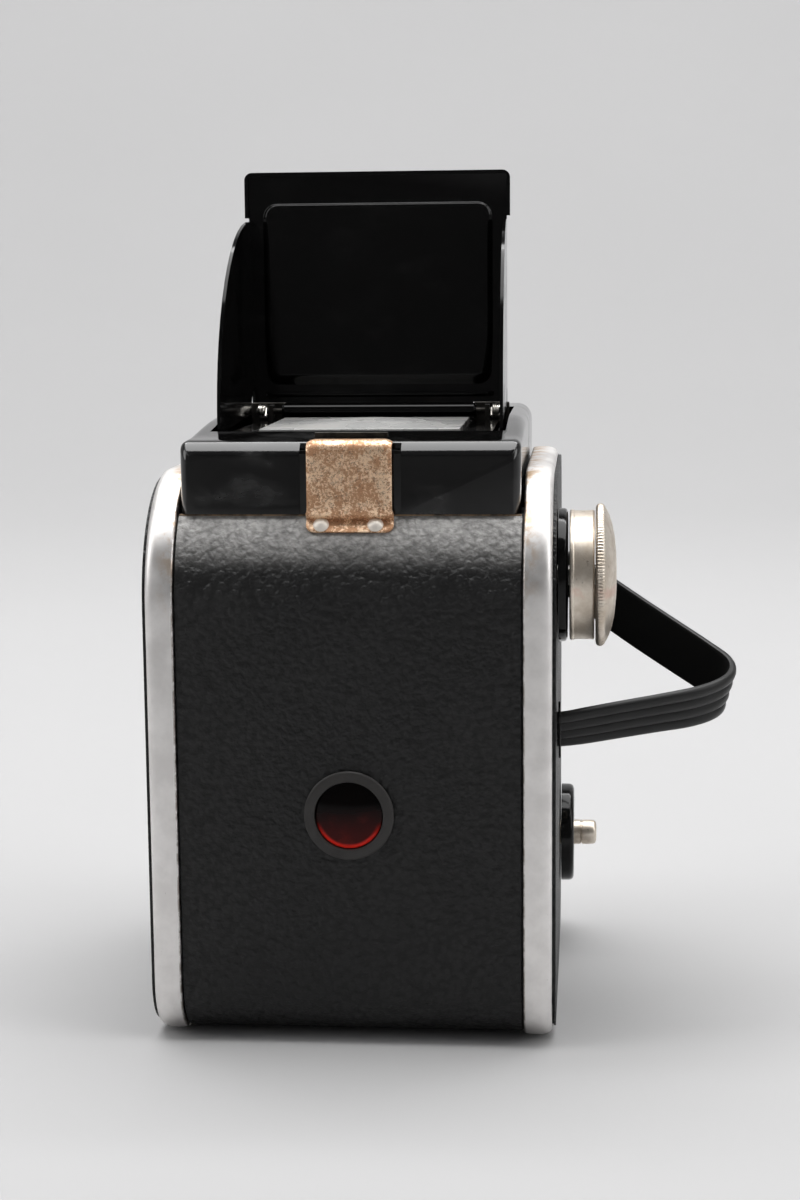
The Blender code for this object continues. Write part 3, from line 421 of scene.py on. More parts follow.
def applied(obj):
    """Turns the object's modifiers into its mesh."""
    bpy.context.view_layer.update()
    graph = bpy.context.evaluated_depsgraph_get()
    evaluated = obj.evaluated_get(graph)
    mesh = bpy.data.meshes.new_from_object(evaluated, preserve_all_data_layers=True, depsgraph=graph)
    obj.modifiers.clear()
    obj.data = mesh
    return obj


def rounded(obj, width, segments=2, angle=35):
    """Bevels every edge sharper than the angle."""
    bevel = obj.modifiers.new("rounded edges", "BEVEL")
    bevel.width = width * MM
    bevel.segments = segments
    bevel.limit_method = "ANGLE"
    bevel.angle_limit = math.radians(angle)
    bevel.harden_normals = True
    bevel.use_clamp_overlap = True
    return applied(obj)


def carve(obj, *cutters):
    """Cuts the cutters out of the object and removes them."""
    for cutter in cutters:
        modifier = obj.modifiers.new("cut", "BOOLEAN")
        modifier.operation = "DIFFERENCE"
        modifier.solver = "EXACT"
        modifier.object = cutter
    applied(obj)
    for cutter in cutters:
        bpy.data.objects.remove(cutter)
    return obj


def mount(obj, node):
    """The piece stands for this CAD node and moves with its body."""
    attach(obj, BODY_OF[node])
    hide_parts(node)
    done.add(node)
    return obj


def added(obj, body):
    """The piece is a small extra on a body and stands for no CAD node."""
    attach(obj, body)
    return obj


def dressed(node, width=0.25, material=None, cutters=()):
    """A copy of a CAD node, cut where asked, with its edges rounded off."""
    bm = bmesh.new()
    bm.from_mesh(frame["nodes"][node].data)
    bmesh.ops.remove_doubles(bm, verts=bm.verts, dist=1e-3 * MM)
    bmesh.ops.dissolve_limit(bm, angle_limit=math.radians(0.4), verts=bm.verts, edges=bm.edges)
    obj = object_of(node + "_piece", bm, material or MATERIAL[SLOT_OF[node]], scale=1)
    if cutters:
        carve(obj, *cutters)
        obj.data.shade_smooth()
        obj.data.set_sharp_from_angle(angle=math.radians(32))
    return mount(rounded(obj, width), node)


def block(name, corner_low, corner_high, material):
    """A box between two corners."""
    bm = bmesh.new()
    bmesh.ops.create_cube(bm, size=1)
    for vertex in bm.verts:
        vertex.co = [(a + b) / 2 + c * (b - a) for a, b, c in zip(corner_low, corner_high, vertex.co)]
    return object_of(name, bm, material)


def towards(axis):
    """The rotation that turns Z to the axis."""
    return Z_AXIS.rotation_difference(Vector(axis)).to_matrix().to_4x4()


def lathe(name, profile, base, axis, material, steps, ripple=None, sharp=32):
    """Turns a profile of (radius, height) about an axis. ripple(i, angle) adds to the i-th radius."""
    bm = bmesh.new()
    place = Matrix.Translation(Vector(base)) @ towards(axis)
    rings = []
    for i, (radius, height) in enumerate(profile):
        if radius <= 0:
            rings.append([bm.verts.new(place @ Vector((0, 0, height)))])
            continue
        ring = []
        for k in range(steps):
            angle = 2 * math.pi * k / steps
            r = radius + (ripple(i, angle) if ripple else 0)
            ring.append(bm.verts.new(place @ Vector((r * math.cos(angle), r * math.sin(angle), height))))
        rings.append(ring)
    pairs = list(zip(rings, rings[1:]))
    if len(rings[0]) > 1 and len(rings[-1]) > 1:
        pairs.append((rings[-1], rings[0]))
    for a, b in pairs:
        if len(a) == len(b) == 1:
            continue
        for k in range(steps):
            j = (k + 1) % steps
            corners = [a[k % len(a)], a[j % len(a)], b[j % len(b)], b[k % len(b)]]
            bm.faces.new(list(dict.fromkeys(corners)))
    return object_of(name, bm, material, sharp=sharp)


def formed(node, profile, place, axis, material, steps, *more):
    """A lathed piece that replaces its CAD node."""
    mount(lathe(node + "_formed", profile, place, axis, material, steps, *more), node)


def tube(name, sections, material, sharp=32):
    """Sweeps closed sections, one list of points for each place along the way."""
    bm = bmesh.new()
    rings = [[bm.verts.new(p) for p in section] for section in sections]
    for a, b in zip(rings, rings[1:]):
        for i in range(len(a)):
            j = (i + 1) % len(a)
            bm.faces.new((a[i], a[j], b[j], b[i]))
    bm.faces.new(rings[0][::-1])
    bm.faces.new(rings[-1])
    return object_of(name, bm, material, sharp=sharp)


def wire(name, points, radius, material):
    """A round wire along points."""
    sections, up, sides = [], None, 10
    for i, point in enumerate(points):
        ahead = (points[min(i + 1, len(points) - 1)] - points[max(i - 1, 0)]).normalized()
        if up is None:
            up = ahead.orthogonal().normalized()
        up = (up - up.dot(ahead) * ahead).normalized()
        side = ahead.cross(up)
        angles = [2 * math.pi * k / sides for k in range(sides)]
        sections.append([point + radius * (math.cos(a) * up + math.sin(a) * side) for a in angles])
    return tube(name, sections, material)


def smoothstep(x, start, end):
    """0 at start, 1 at end and smooth between them, either way round."""
    t = min(max((x - start) / (end - start), 0), 1)
    return t * t * (3 - 2 * t)


# ---- rails

REAR_TOP_RADIUS = 26.0
REAR_FOOT_RADIUS = 12.0
FRONT_RADIUS = 13.0
BACK_Y, FRONT_Y = low("back_rail_left").y, high("front_rail_left").y
RAIL_TOP_Z = high("front_rail_left").z
RAIL_THICK = 1.6
CORNERS = {
    "rear_top": ((BACK_Y + REAR_TOP_RADIUS, RAIL_TOP_Z - REAR_TOP_RADIUS), REAR_TOP_RADIUS),
    "rear_foot": ((BACK_Y + REAR_FOOT_RADIUS, REAR_FOOT_RADIUS), REAR_FOOT_RADIUS),
    "front_foot": ((FRONT_Y - FRONT_RADIUS, FRONT_RADIUS), FRONT_RADIUS),
    "front_top": ((FRONT_Y - FRONT_RADIUS, RAIL_TOP_Z - FRONT_RADIUS), FRONT_RADIUS),
}


def corner(name, inset, start, end, steps):
    """(y, z) points along one of the rail's corners, from start to end in degrees."""
    (cy, cz), radius = CORNERS[name]
    angles = [math.radians(start + (end - start) * i / steps) for i in range(steps + 1)]
    return [(cy + (radius - inset) * math.cos(a), cz + (radius - inset) * math.sin(a)) for a in angles]


def joint_angle(inset, y):
    """Where on the rear top corner the back rail and the front rail meet, in degrees."""
    (cy, _), radius = CORNERS["rear_top"]
    return math.degrees(math.acos((y - cy) / (radius - inset)))


def rail_path(which, inset):
    """(y, z) points along a rail at this depth under its crown."""
    if which == "back":
        end = joint_angle(inset, high("back_rail_left").y)
        return corner("rear_foot", inset, 250, 180, 14) + corner("rear_top", inset, 180, end, 36)
    start = joint_angle(inset, low("front_rail_left").y)
    return (
        corner("rear_top", inset, start, 90, 2)
        + corner("front_top", inset, 90, 0, 18)
        + corner("front_foot", inset, 0, -90, 18)
        + corner("rear_foot", inset, 270, 261, 3)
    )


def rail_section(inner, outer):
    """(x, depth) points across a rail, from its inner foot over the crown to its outer foot."""
    edge_depth, edge_width, crown_width, outer_drop = 0.62, 0.55, 3.0, 1.45
    points = [(inner, RAIL_THICK), (inner, edge_depth)]
    turn = (0.4, 0.8, 1.2, 1.57)
    points += [(inner + edge_width * (1 - math.cos(a)), edge_depth - 0.47 * math.sin(a)) for a in turn]
    points += [(inner + 1.3, 0.05), (inner + 2.2, 0.0), (inner + crown_width, 0.02)]
    radius = outer - inner - crown_width
    for i in range(1, 8):
        a = math.radians(90 * i / 7)
        across = inner + crown_width + radius * math.sin(a)
        points.append((across, 0.02 + outer_drop * (1 - math.cos(a))))
    points.append((outer, RAIL_THICK))
    return points


def make_rails():
    """The formed trim down each side: one half rides on the back cover, the other on the case."""
    for which in ("back", "front"):
        for side, name in ((-1, "left"), (1, "right")):
            node = f"{which}_rail_{name}"
            inner, outer = sorted((abs(low(node).x), abs(high(node).x)))
            paths = [(x, rail_path(which, depth)) for x, depth in rail_section(inner, outer)]
            steps = range(len(paths[0][1]))
            sections = [[Vector((side * x, *path[j])) for x, path in paths] for j in steps]
            mount(tube(node + "_formed", sections, MATERIAL["aluminium"], sharp=40), node)


# ---- finder housing and hood


def housing_sections():
    """(y, half width, top, corner radius) along the housing, close together where it curves."""
    rear, edge, side_round = low("finder_housing").y, 3.1, 1.6
    top, wide = high("finder_housing").z, high("finder_housing").x
    crest = top - 2.9
    flat, curved = 0.6, 0.4
    made = []
    for i in range(9):
        a = math.radians(90 * i / 8)
        along = edge * (flat * i / 8 + curved * (1 - math.cos(a)))
        down = edge * (flat * (1 - i / 8) + curved * (1 - math.sin(a)))
        half = wide - side_round * (1 - math.sin(a))
        made.append((rear + along, half, crest - down, 1.0 + 0.5 * math.sin(a)))
    for along, drop, radius in (
        (6, 2.75, 1.5), (10.0, 2.62, 1.6), (12.5, 2.42, 1.7), (18, 1.82, 1.8),
        (25, 1.08, 2.0), (32, 0.46, 2.3), (37, 0.12, 2.5), (41, 0.0, 2.7),
    ):
        made.append((rear + along, wide, top - drop, radius))
    made.append((high("finder_housing").y, wide, top, 3.4))
    return made


def make_housing():
    """The finder housing as one shell, with the clip's recess, the glass opening and the lens bore."""
    black = enamel("housing_enamel", smear_share=0.2, gloss=0.62)
    floor = low("finder_housing").z
    sections = []
    for y, half, top, radius in housing_sections():
        angles = [math.radians(90 * i / 8) for i in range(9)]
        round_x, round_z = -half + radius, top - radius
        left = [Vector((round_x - radius * math.cos(a), y, round_z + radius * math.sin(a))) for a in angles]
        right = [Vector((-p.x, p.y, p.z)) for p in left[::-1]]
        sections.append([Vector((-half, y, floor)), *left, *right, Vector((half, y, floor))])
    shell = tube("finder_housing_formed", sections, black, sharp=50)
    rear, front = low("finder_housing").y, high("finder_housing").y
    opening = high("glass_frame").x + 3.0
    opening_rear, opening_front = low("glass_frame").y - 0.6, low("front_plate").y - 14.8
    lens_bore, bore_radius = bmesh.new(), 12.4
    bmesh.ops.create_cone(
        lens_bore, cap_ends=True, segments=72, radius1=bore_radius, radius2=bore_radius, depth=30,
        matrix=Matrix.Translation((0, front, middle("viewing_lens_ring").z)) @ towards(Y_AXIS),
    )
    clip_x, recess = middle("latch_clip").x, 10.1
    clip_low, clip_high = clip_x - recess, clip_x + recess
    face_depth, lip_depth, lip_z, recess_top, overlap = 0.42, 2.6, 119.5, 121.42, 0.1
    hollow, hollow_top, dome, dome_top = 32.4, 120.3, 32.0, 123.2
    rear_wall, front_wall = 1.6, 1.5
    blocks = (
        ("face_recess", (clip_low, rear - 2, floor - 2), (clip_high, rear + face_depth, lip_z + overlap)),
        ("lip_recess", (clip_low, rear - 2, lip_z - overlap), (clip_high, rear + lip_depth, recess_top)),
        ("hollow", (-hollow, rear + rear_wall, 90), (hollow, front - front_wall, hollow_top)),
        ("dome", (-dome, 0, 110), (dome, front - front_wall, dome_top)),
        ("opening", (-opening, opening_rear, 110), (opening, opening_front, 140)),
    )
    cutters = [block(name, start, end, black) for name, start, end in blocks]
    carve(shell, *cutters, object_of("lens_bore", lens_bore, black))
    shell.data.shade_smooth()
    shell.data.set_sharp_from_angle(angle=math.radians(40))
    mount(rounded(shell, 0.35, 3, 50), "finder_housing")


def spread(start, end, step, fine=()):
    """Grid lines from start to end, closer inside the fine spans of (low, high, step)."""
    lines = {round(start, 3), round(end, 3)}
    count = max(int(round((end - start) / step)), 1)
    lines |= {round(start + (end - start) * i / count, 3) for i in range(count + 1)}
    for a, b, small in fine:
        lines = {v for v in lines if not a < v < b}
        count = max(int(round((b - a) / small)), 1)
        lines |= {round(a + (b - a) * i / count, 3) for i in range(count + 1)}
    return sorted(lines)


def make_hood():
    """The lid and wings with rounded corners, the lid's pressed panel and bead, and its rolled end."""
    cutters = []
    lo, hi = low("hood"), high("hood")
    corner_radius = 1.7
    for side in (-1, 1):
        arc = [math.radians(15 * i) for i in range(7)]
        outline = [(side * (hi.x + 1), hi.z + 1), (side * (hi.x + 1), hi.z - corner_radius)]
        for a in arc:
            x = side * (hi.x - corner_radius * (1 - math.cos(a)))
            outline.append((x, hi.z - corner_radius * (1 - math.sin(a))))
        outline.append((side * (hi.x - corner_radius), hi.z + 1))
        ends = [[Vector((x, y, z)) for x, z in outline] for y in (lo.y - 1, hi.y + 1)]
        cutters.append(tube(f"hood_corner_{side}", ends, MATERIAL["black_enamel"]))
    dressed("hood", 0.22, cutters=cutters)
    # The pressed panel stands towards the glass, over the plain sheet
    face_y = hi.y - 0.8
    sheet_bottom, sheet_top, reach = 126.0, 172.6, 28.4
    bottom, top, half, radius, rise = 129.6, 170.8, 25.9, 3.4, 0.8
    bead_z, bead_rise, bead_half, fine_top = 127.9, 0.42, 25.5, 134.0
    slope, soft_slope = 1.15, 1.6
    x_lines = spread(-reach, reach, 2.4, [(-half - 0.4, -half + 5.0, 0.33), (half - 5.0, half + 0.4, 0.33)])
    fine = [(sheet_bottom, fine_top, 0.3), (top - 5.0, top + 0.4, 0.33)]
    z_lines = spread(sheet_bottom, sheet_top, 2.4, fine)

    def height(x, z):
        centre = (top + bottom) / 2
        dx, dz = abs(x) - (half - radius), abs(z - centre) - ((top - bottom) / 2 - radius)
        outside = math.hypot(max(dx, 0), max(dz, 0)) + min(max(dx, dz), 0) - radius
        edge = slope if z > centre else slope + soft_slope * smoothstep(centre - z, 10, 19)
        panel = rise * smoothstep(-outside, 0.0, edge)
        bead = bead_rise * smoothstep(abs(z - bead_z), 0.85, 0.1)
        bead *= smoothstep(abs(x), bead_half + 1, bead_half - 1)
        return max(panel, bead) * smoothstep(abs(x), reach, reach - 0.4) + 0.03

    sections = []
    for z in z_lines:
        raised = [Vector((x, face_y - height(x, z), z)) for x in x_lines]
        sections.append(raised + [Vector((x, face_y + 0.25, z)) for x in x_lines[::-1]])
    panel = tube("hood_pressed_panel", sections, MATERIAL["black_enamel"], sharp=60)
    added(panel, "hood")
    # The lid's lower end, rolled round the hinge pin
    pin = middle("hood_pin")
    roll, half = 1.78, 22.0
    profile = [(0.0, -half), (roll - 0.5, -half), (roll, 0.5 - half)]
    profile += [(radius, -along) for radius, along in profile[::-1]]
    barrel = lathe("hood_rolled_end", profile, (0, pin.y, pin.z), X_AXIS, MATERIAL["black_enamel"], 40)
    added(barrel, "hood")


def make_hinge():
    """Coiled springs on the hood's pin, rivets on the brackets, and a dark leaf behind each bracket."""
    bright = steel("bright_wire", (0.66, 0.63, 0.58), 0.2)
    dull = steel("blackened_steel", (0.07, 0.066, 0.06), 0.34)
    pin = middle("hood_pin")
    rivet_x, leaf_inner, leaf_outer, leaf_bottom, leaf_top = 22.9, 21.4, 29.4, 121.3, 125.95
    rivet = [(0.0, 0.5), (0.35, 0.46), (0.65, 0.3), (0.8, 0.05), (0.8, -0.2), (0.0, -0.2)]
    for side, name in ((-1, "left"), (1, "right")):
        node = f"hood_spring_{name}"
        inner, outer = sorted((abs(low(node).x), abs(high(node).x)))
        radius, thick = 1.32, 0.26
        turns, steps = 4, 20
        points = []
        for k in range(turns * steps + 1):
            a = 2 * math.pi * k / steps + 2.6
            x = inner + thick + (outer - inner - 2 * thick) * k / (turns * steps)
            points.append(Vector((side * x, pin.y + radius * math.cos(a), pin.z + radius * math.sin(a))))
        leg = [points[0] + Vector((0, -0.5 * i, -0.55 * i)) for i in range(3, 0, -1)]
        mount(wire(node + "_coil", leg + points, thick, bright), node)
        bracket = f"hood_bracket_{name}"
        dressed(bracket, 0.15, dull)
        place = (side * rivet_x, pin.y + 0.6, low(bracket).z + 0.9)
        added(lathe(bracket + "_rivet", rivet, place, Z_AXIS, bright, 24), "case")
        start, end = sorted((side * leaf_inner, side * leaf_outer))
        behind = pin.y + 1.75
        leaf = block(bracket + "_leaf", (start, behind, leaf_bottom), (end, behind + 0.7, leaf_top), dull)
        added(rounded(leaf, 0.2), "case")
    dressed("hood_pin", 0.12, dull)
    dressed("latch_catch", 0.15, dull)


# ---- back cover


def make_window():
    """A thin turned ring round a shallow ruby dome."""
    node = middle("window_ring")
    face = high("window_ring").y
    outer, inner = radius_of("window_ring"), 6.85
    profile = [
        (outer, 0.0), (outer, 0.28), (outer - 0.12, 0.45), (outer - 0.35, 0.55), (outer - 0.75, 0.6),
        (outer - 1.0, 0.66), (inner + 0.55, 0.86), (inner + 0.25, 0.88), (inner + 0.06, 0.78),
        (inner, 0.55), (inner, 0.0),
    ]
    paint = matt_black("window_ring_paint", (0.020, 0.018, 0.017))
    formed("window_ring", profile, (node.x, face, node.z), -Y_AXIS, paint, 128)
    radius = radius_of("window_glass")
    sphere = (radius**2 + 1) / 2
    tilt = math.asin(radius / sphere)
    angles = [tilt * i / 14 for i in range(15)]
    dome = [(sphere * math.sin(a), sphere * (math.cos(a) - math.cos(tilt))) for a in angles]
    dome[0] = (0.0, dome[0][1])
    dome += [(radius, -2.2), (0.0, -2.2)]
    top = low("window_glass").y + 1.0
    formed("window_glass", dome, (node.x, top, node.z), -Y_AXIS, MATERIAL["ruby_glass"], 96)


def make_skin_edge():
    """Cut edge of the leatherette under the finder housing, brown with rust and old glue."""
    lo, hi = low("back_leatherette"), high("back_leatherette")
    s = Surface("glue_edge", (0.20, 0.11, 0.05), 0.7)
    patches = s.noise(4, 5, 0.7)
    s.set("Base Color", s.mix(s.ramp(patches, 0.4, 0.65), (0.36, 0.24, 0.14), (0.07, 0.05, 0.035)))
    s.set("Normal", s.bump(s.noise(0.6, 4), 0.3, 0.05))
    (cy, cz), radius = CORNERS["rear_top"]
    z = hi.z
    y = cy - math.sqrt((radius - 0.55) ** 2 - (z - cz) ** 2)
    edge = block("leatherette_edge", (lo.x + 0.1, y, z - 0.12), (hi.x - 0.1, y + 0.9, z + 0.16), s.material)
    added(rounded(edge, 0.06), "back_cover")


def make_clip():
    """Thin formed clip: a foot on the leatherette, an upright face and a lip, its sides turned back."""
    (cy, cz), radius = CORNERS["rear_top"]
    lo, hi = low("latch_clip"), high("latch_clip")
    centre_x, wide, narrow, thick = (lo.x + hi.x) / 2, (hi.x - lo.x) / 2, 8.45, 0.5
    foot_corner, lip_corner, turned_back = 1.7, 1.0, 0.32
    skin_inset, lift = 0.6, 0.38
    foot_radius = radius - skin_inset + lift
    foot_start, foot_angle, rivet_angle = 34.9, 6.6, 38.4
    path = []
    for i in range(9):
        a = math.radians(180 - foot_start - foot_angle * i / 8)
        path.append((cy + foot_radius * math.cos(a), cz + foot_radius * math.sin(a)))
    face_y, lip_z, bend = lo.y + 0.55, hi.z - 0.52, 1.9
    face_rows = (109.6, 112.0, 115.0, 118.0)
    path += [(face_y + 0.35, 107.6), (face_y + 0.08, 108.5)]
    path += [(face_y, z) for z in face_rows]
    for i in range(9):
        a = math.radians(180 - 90 * i / 8)
        path.append((face_y + bend + bend * math.cos(a), lip_z - bend + bend * math.sin(a)))
    path.append((hi.y - 0.5, lip_z))
    path.append((hi.y - 0.1, lip_z - 0.02))
    lengths = [0.0]
    for (y0, z0), (y1, z1) in zip(path, path[1:]):
        lengths.append(lengths[-1] + math.hypot(y1 - y0, z1 - z0))
    # Finer rows where the outline is rounded
    total = lengths[-1]
    rows = spread(0, total, 0.8, [(0, 1.8, 0.15), (total - 1.2, total, 0.15)])

    def at(s):
        """(y, z) at this distance along the path."""
        for i in range(len(lengths) - 1):
            if s <= lengths[i + 1] + 1e-9:
                t = (s - lengths[i]) / (lengths[i + 1] - lengths[i])
                (y0, z0), (y1, z1) = path[i], path[i + 1]
                return y0 + t * (y1 - y0), z0 + t * (z1 - z0)
        return path[-1]

    shoulder = lengths[9] + 0.6

    def half_width(s):
        """Half the clip's width there, with its corners rounded."""
        half = wide + (narrow - wide) * smoothstep(s, shoulder - 0.5, shoulder + 0.5)
        for distance, corner_radius in ((s, foot_corner), (total - s, lip_corner)):
            if distance < corner_radius:
                left = corner_radius - distance
                half -= corner_radius - math.sqrt(max(corner_radius**2 - left**2, 0))
        return half

    sections = []
    for s in rows:
        y, z = at(s)
        (ya, za), (yb, zb) = at(max(s - 0.2, 0)), at(min(s + 0.2, total))
        along = Vector((0, yb - ya, zb - za)).normalized()
        out = along.cross(X_AXIS).normalized()
        if (out.y > 0) if s < total - 3 else (out.z < 0):
            out = -out
        half = half_width(s)
        turned = turned_back * smoothstep(s, shoulder, shoulder + 1.5)
        outer, inner = [], []
        for u in (-1, -0.97, -0.93, -0.85, -0.5, 0, 0.5, 0.85, 0.93, 0.97, 1):
            back = turned * smoothstep(abs(u), 0.86, 1.0) + 0.05 * smoothstep(abs(u), 0.93, 1.0)
            point = Vector((centre_x + u * half, y, z)) - back * out
            outer.append(point + thick / 2 * (1 - 0.5 * smoothstep(abs(u), 0.95, 1.0)) * out)
            inner.append(point - thick / 2 * out)
        sections.append(outer + inner[::-1])
    clip = tube("latch_clip_formed", sections, MATERIAL["rusty_steel"], sharp=45)
    mount(clip, "latch_clip")
    bright = Surface("bright_rivet", (0.86, 0.80, 0.72), 0.4, 0.35).material
    slope = math.radians(180 - rivet_angle)
    normal = Vector((0, math.cos(slope), math.sin(slope)))
    reach = foot_radius + thick / 2
    head = [(0.0, 0.86), (0.4, 0.82), (0.8, 0.70), (1.2, 0.46), (1.52, 0.2), (1.6, 0.0), (0.0, -0.05)]
    for name in ("latch_rivet_left", "latch_rivet_right"):
        base = (middle(name).x, cy + reach * normal.y, cz + reach * normal.z)
        mount(lathe(name + "_head", head, base, normal, bright, 32), name)


# ---- knob, release and lenses


def make_knob():
    """The winding knob's barrel, its domed cap with a knurled rim, and the black plate behind it."""
    axis = middle("winding_knob")
    start, end = low("winding_knob").x, high("winding_knob").x
    outer, length = radius_of("winding_knob"), end - start
    bore, plate_bore = 2.4, 2.9
    body = [
        (outer - 0.5, 0.0), (outer - 0.12, 0.12), (outer, 0.4), (outer - 0.02, 0.75), (outer - 0.16, 0.95),
        (outer - 0.2, 2.5), (outer - 0.15, length - 0.7), (outer - 0.05, length - 0.35),
        (outer - 0.3, length), (bore, length), (bore, 0.0),
    ]
    formed("winding_knob", body, (start, axis.y, axis.z), X_AXIS, MATERIAL["nickel"], 128)
    rim = radius_of("knob_cap")
    cap = [
        (rim - 0.75, -0.05), (rim - 0.3, 0.1), (rim - 0.08, 0.38), (rim, 0.75), (rim - 0.02, 1.15),
        (rim - 0.16, 1.5), (rim - 0.42, 1.8), (rim - 0.75, 1.98), (rim - 1.3, 2.3), (rim - 2.4, 2.78),
        (rim - 4.0, 3.3), (rim - 6.5, 3.8), (rim - 9.5, 4.08), (3.0, 4.18), (0.0, 4.2), (0.0, 2.0),
        (bore, 2.0), (bore, 0.0),
    ]
    teeth, depths = 132, (0, 0.05, 0.09, 0.11, 0.11, 0.08, 0.03)

    def knurl(i, angle):
        return (depths[i] if i < len(depths) else 0) * math.cos(teeth * angle)

    cap_place = (low("knob_cap").x, axis.y, axis.z)
    formed("knob_cap", cap, cap_place, X_AXIS, MATERIAL["nickel"], teeth * 4, knurl, 60)
    radius = 13.6
    plate = [
        (radius, 0.0), (radius, 1.1), (radius - 0.15, 1.5), (radius - 0.5, 1.75), (radius - 1.1, 1.85),
        (plate_bore, 1.9), (plate_bore, 0.0),
    ]
    place = (low("knob_escutcheon").x, axis.y, axis.z)
    formed("knob_escutcheon", plate, place, X_AXIS, MATERIAL["black_enamel"], 96)


def make_release():
    """The release button's black bezel and its grooved pin, flanged inside the case."""
    axis = middle("release_bezel")
    outer = radius_of("release_bezel")
    bezel = [
        (outer, 0.0), (outer, 1.7), (outer - 0.1, 2.2), (outer - 0.4, 2.6), (outer - 0.9, 2.85),
        (outer - 1.4, 2.9), (4.6, 2.9), (4.2, 2.7), (3.9, 2.55), (3.3, 2.5), (3.3, 0.0),
    ]
    place = (low("release_bezel").x, axis.y, axis.z)
    formed("release_bezel", bezel, place, X_AXIS, MATERIAL["black_enamel"], 96)
    lo, hi = low("release_plunger"), high("release_plunger")
    tip, flange_radius, flange_start, flange_end = hi.x - lo.x, 4.2, 17.1, 18.1
    shaft = [
        (0.0, tip), (1.6, tip - 0.02), (2.2, tip - 0.12), (2.55, tip - 0.35), (2.75, tip - 0.75),
        (2.82, tip - 1.6), (2.84, tip - 3.3), (2.6, tip - 3.42), (2.6, tip - 3.62), (2.84, tip - 3.74),
        (2.85, flange_end), (flange_radius, flange_end), (flange_radius, flange_start),
        (1.5, flange_start), (1.5, 0.15), (1.35, 0.0), (0.0, 0.0),
    ]
    formed("release_plunger", shaft, (lo.x, axis.y, axis.z), X_AXIS, MATERIAL["nickel"], 48)


def make_lens_rings():
    """Turned rings round both lenses, stepped down to the glass."""
    plain = aluminium("ring_aluminium", stained=False)
    taking = [
        (9.2, -9.2), (9.2, -3.2), (11.5, -3.0), (11.5, -1.2), (11.3, -0.4), (10.9, 0.0), (10.2, 0.0),
        (9.8, -0.5), (9.4, -0.9), (9.0, -1.0), (8.6, -1.5), (8.2, -1.6), (7.8, -2.1), (7.4, -2.2),
        (7.0, -3.0), (7.0, -9.2),
    ]
    viewing = [
        (11.2, -7.4), (11.2, -2.4), (13.2, -2.3), (13.2, -0.9), (13.0, -0.3), (12.6, 0.0), (11.8, 0.0),
        (11.4, -0.5), (11.0, -0.8), (10.5, -1.2), (10.0, -1.8), (9.5, -2.7), (9.5, -7.4),
    ]
    for node, profile in (("taking_lens_ring", taking), ("viewing_lens_ring", viewing)):
        centre = middle(node)
        formed(node, profile, (centre.x, high(node).y, centre.z), Y_AXIS, plain, 96)


def make_tripod_bush():
    """Brass bush with a coarse thread cut in its bore."""
    centre = middle("tripod_bush")
    bore, crest, pitch, depth = 3.2, 3.42, 0.88, 7.8
    thread = []
    for i in range(8):
        z = 0.7 + pitch * i
        thread += [(bore, z), (crest, z + 0.3), (crest, z + 0.45), (bore, z + 0.75)]
    profile = [(0.0, 9.0), (5.0, 9.0), (5.0, 0.4), (4.8, 0.2), (3.5, 0.2), (bore, 0.45), *thread]
    profile += [(bore, depth), (0.0, depth)]
    formed("tripod_bush", profile, (centre.x, centre.y, 0), Z_AXIS, MATERIAL["brass"], 64)


# ---- strap

STRAP_WIDTH = 11.0
# Centre line of the strap through its two slots, in case millimetres, with the direction of its width
STRAP_ROUTE = (
    ((39.0, 19.5, 61.7), (0.00, -0.682, 0.731)),
    ((42.3, 19.8, 61.8), (0.00, -0.68, 0.73)),
    ((47.0, 21.0, 62.3), (0.04, -0.64, 0.77)),
    ((54.0, 23.4, 63.1), (0.10, -0.60, 0.79)),
    ((62.0, 26.6, 63.9), (0.15, -0.56, 0.81)),
    ((69.4, 30.2, 64.6), (0.18, -0.50, 0.85)),
    ((74.4, 34.2, 65.6), (0.20, -0.44, 0.88)),
    ((76.5, 38.4, 66.8), (0.22, -0.38, 0.90)),
    ((75.8, 42.6, 68.5), (0.26, -0.33, 0.91)),
    ((71.6, 46.6, 70.9), (0.31, -0.28, 0.91)),
    ((65.3, 51.8, 74.3), (0.34, -0.25, 0.91)),
    ((58.3, 57.8, 78.1), (0.34, -0.23, 0.91)),
    ((51.9, 63.4, 81.8), (0.30, -0.23, 0.93)),
    ((46.5, 68.4, 85.2), (0.16, -0.28, 0.94)),
    ((42.4, 71.6, 87.1), (0.00, -0.34, 0.94)),
    ((39.0, 72.0, 87.2), (0.00, -0.342, 0.940)),
)


def catmull(points, steps):
    """A smooth curve through the points."""
    padded = [2 * points[0] - points[1], *points, 2 * points[-1] - points[-2]]
    made = []
    for a, b, c, d in zip(padded, padded[1:], padded[2:], padded[3:]):
        for i in range(steps):
            t = i / steps
            square = (2 * a - 5 * b + 4 * c - d) * t**2
            cube = (3 * b - a - 3 * c + d) * t**3
            made.append(0.5 * (2 * b + (c - a) * t + square + cube))
    return made + [points[-1]]


def strap_section():
    """(across, outwards) points: four round ribs on the outer face, a smooth inner face."""
    ribs, valley, crown = 4, 0.05, 0.95
    pitch = STRAP_WIDTH / ribs
    outer = []
    for rib in range(ribs):
        for k in range(9):
            u = -0.94 + 1.88 * k / 8
            x = -STRAP_WIDTH / 2 + pitch * (rib + 0.5 + u / 2)
            outer.append((x, valley + (crown - valley) * math.sqrt(1 - u * u * 0.98)))
    half = STRAP_WIDTH / 2
    inner = [(half - 0.02, -0.35), (half - 0.18, -0.72), (half - 0.55, -0.88), (half - 1.1, -0.9)]
    inner += [(0.0, -0.9)] + [(-x, y) for x, y in inner[::-1]]
    return outer + inner


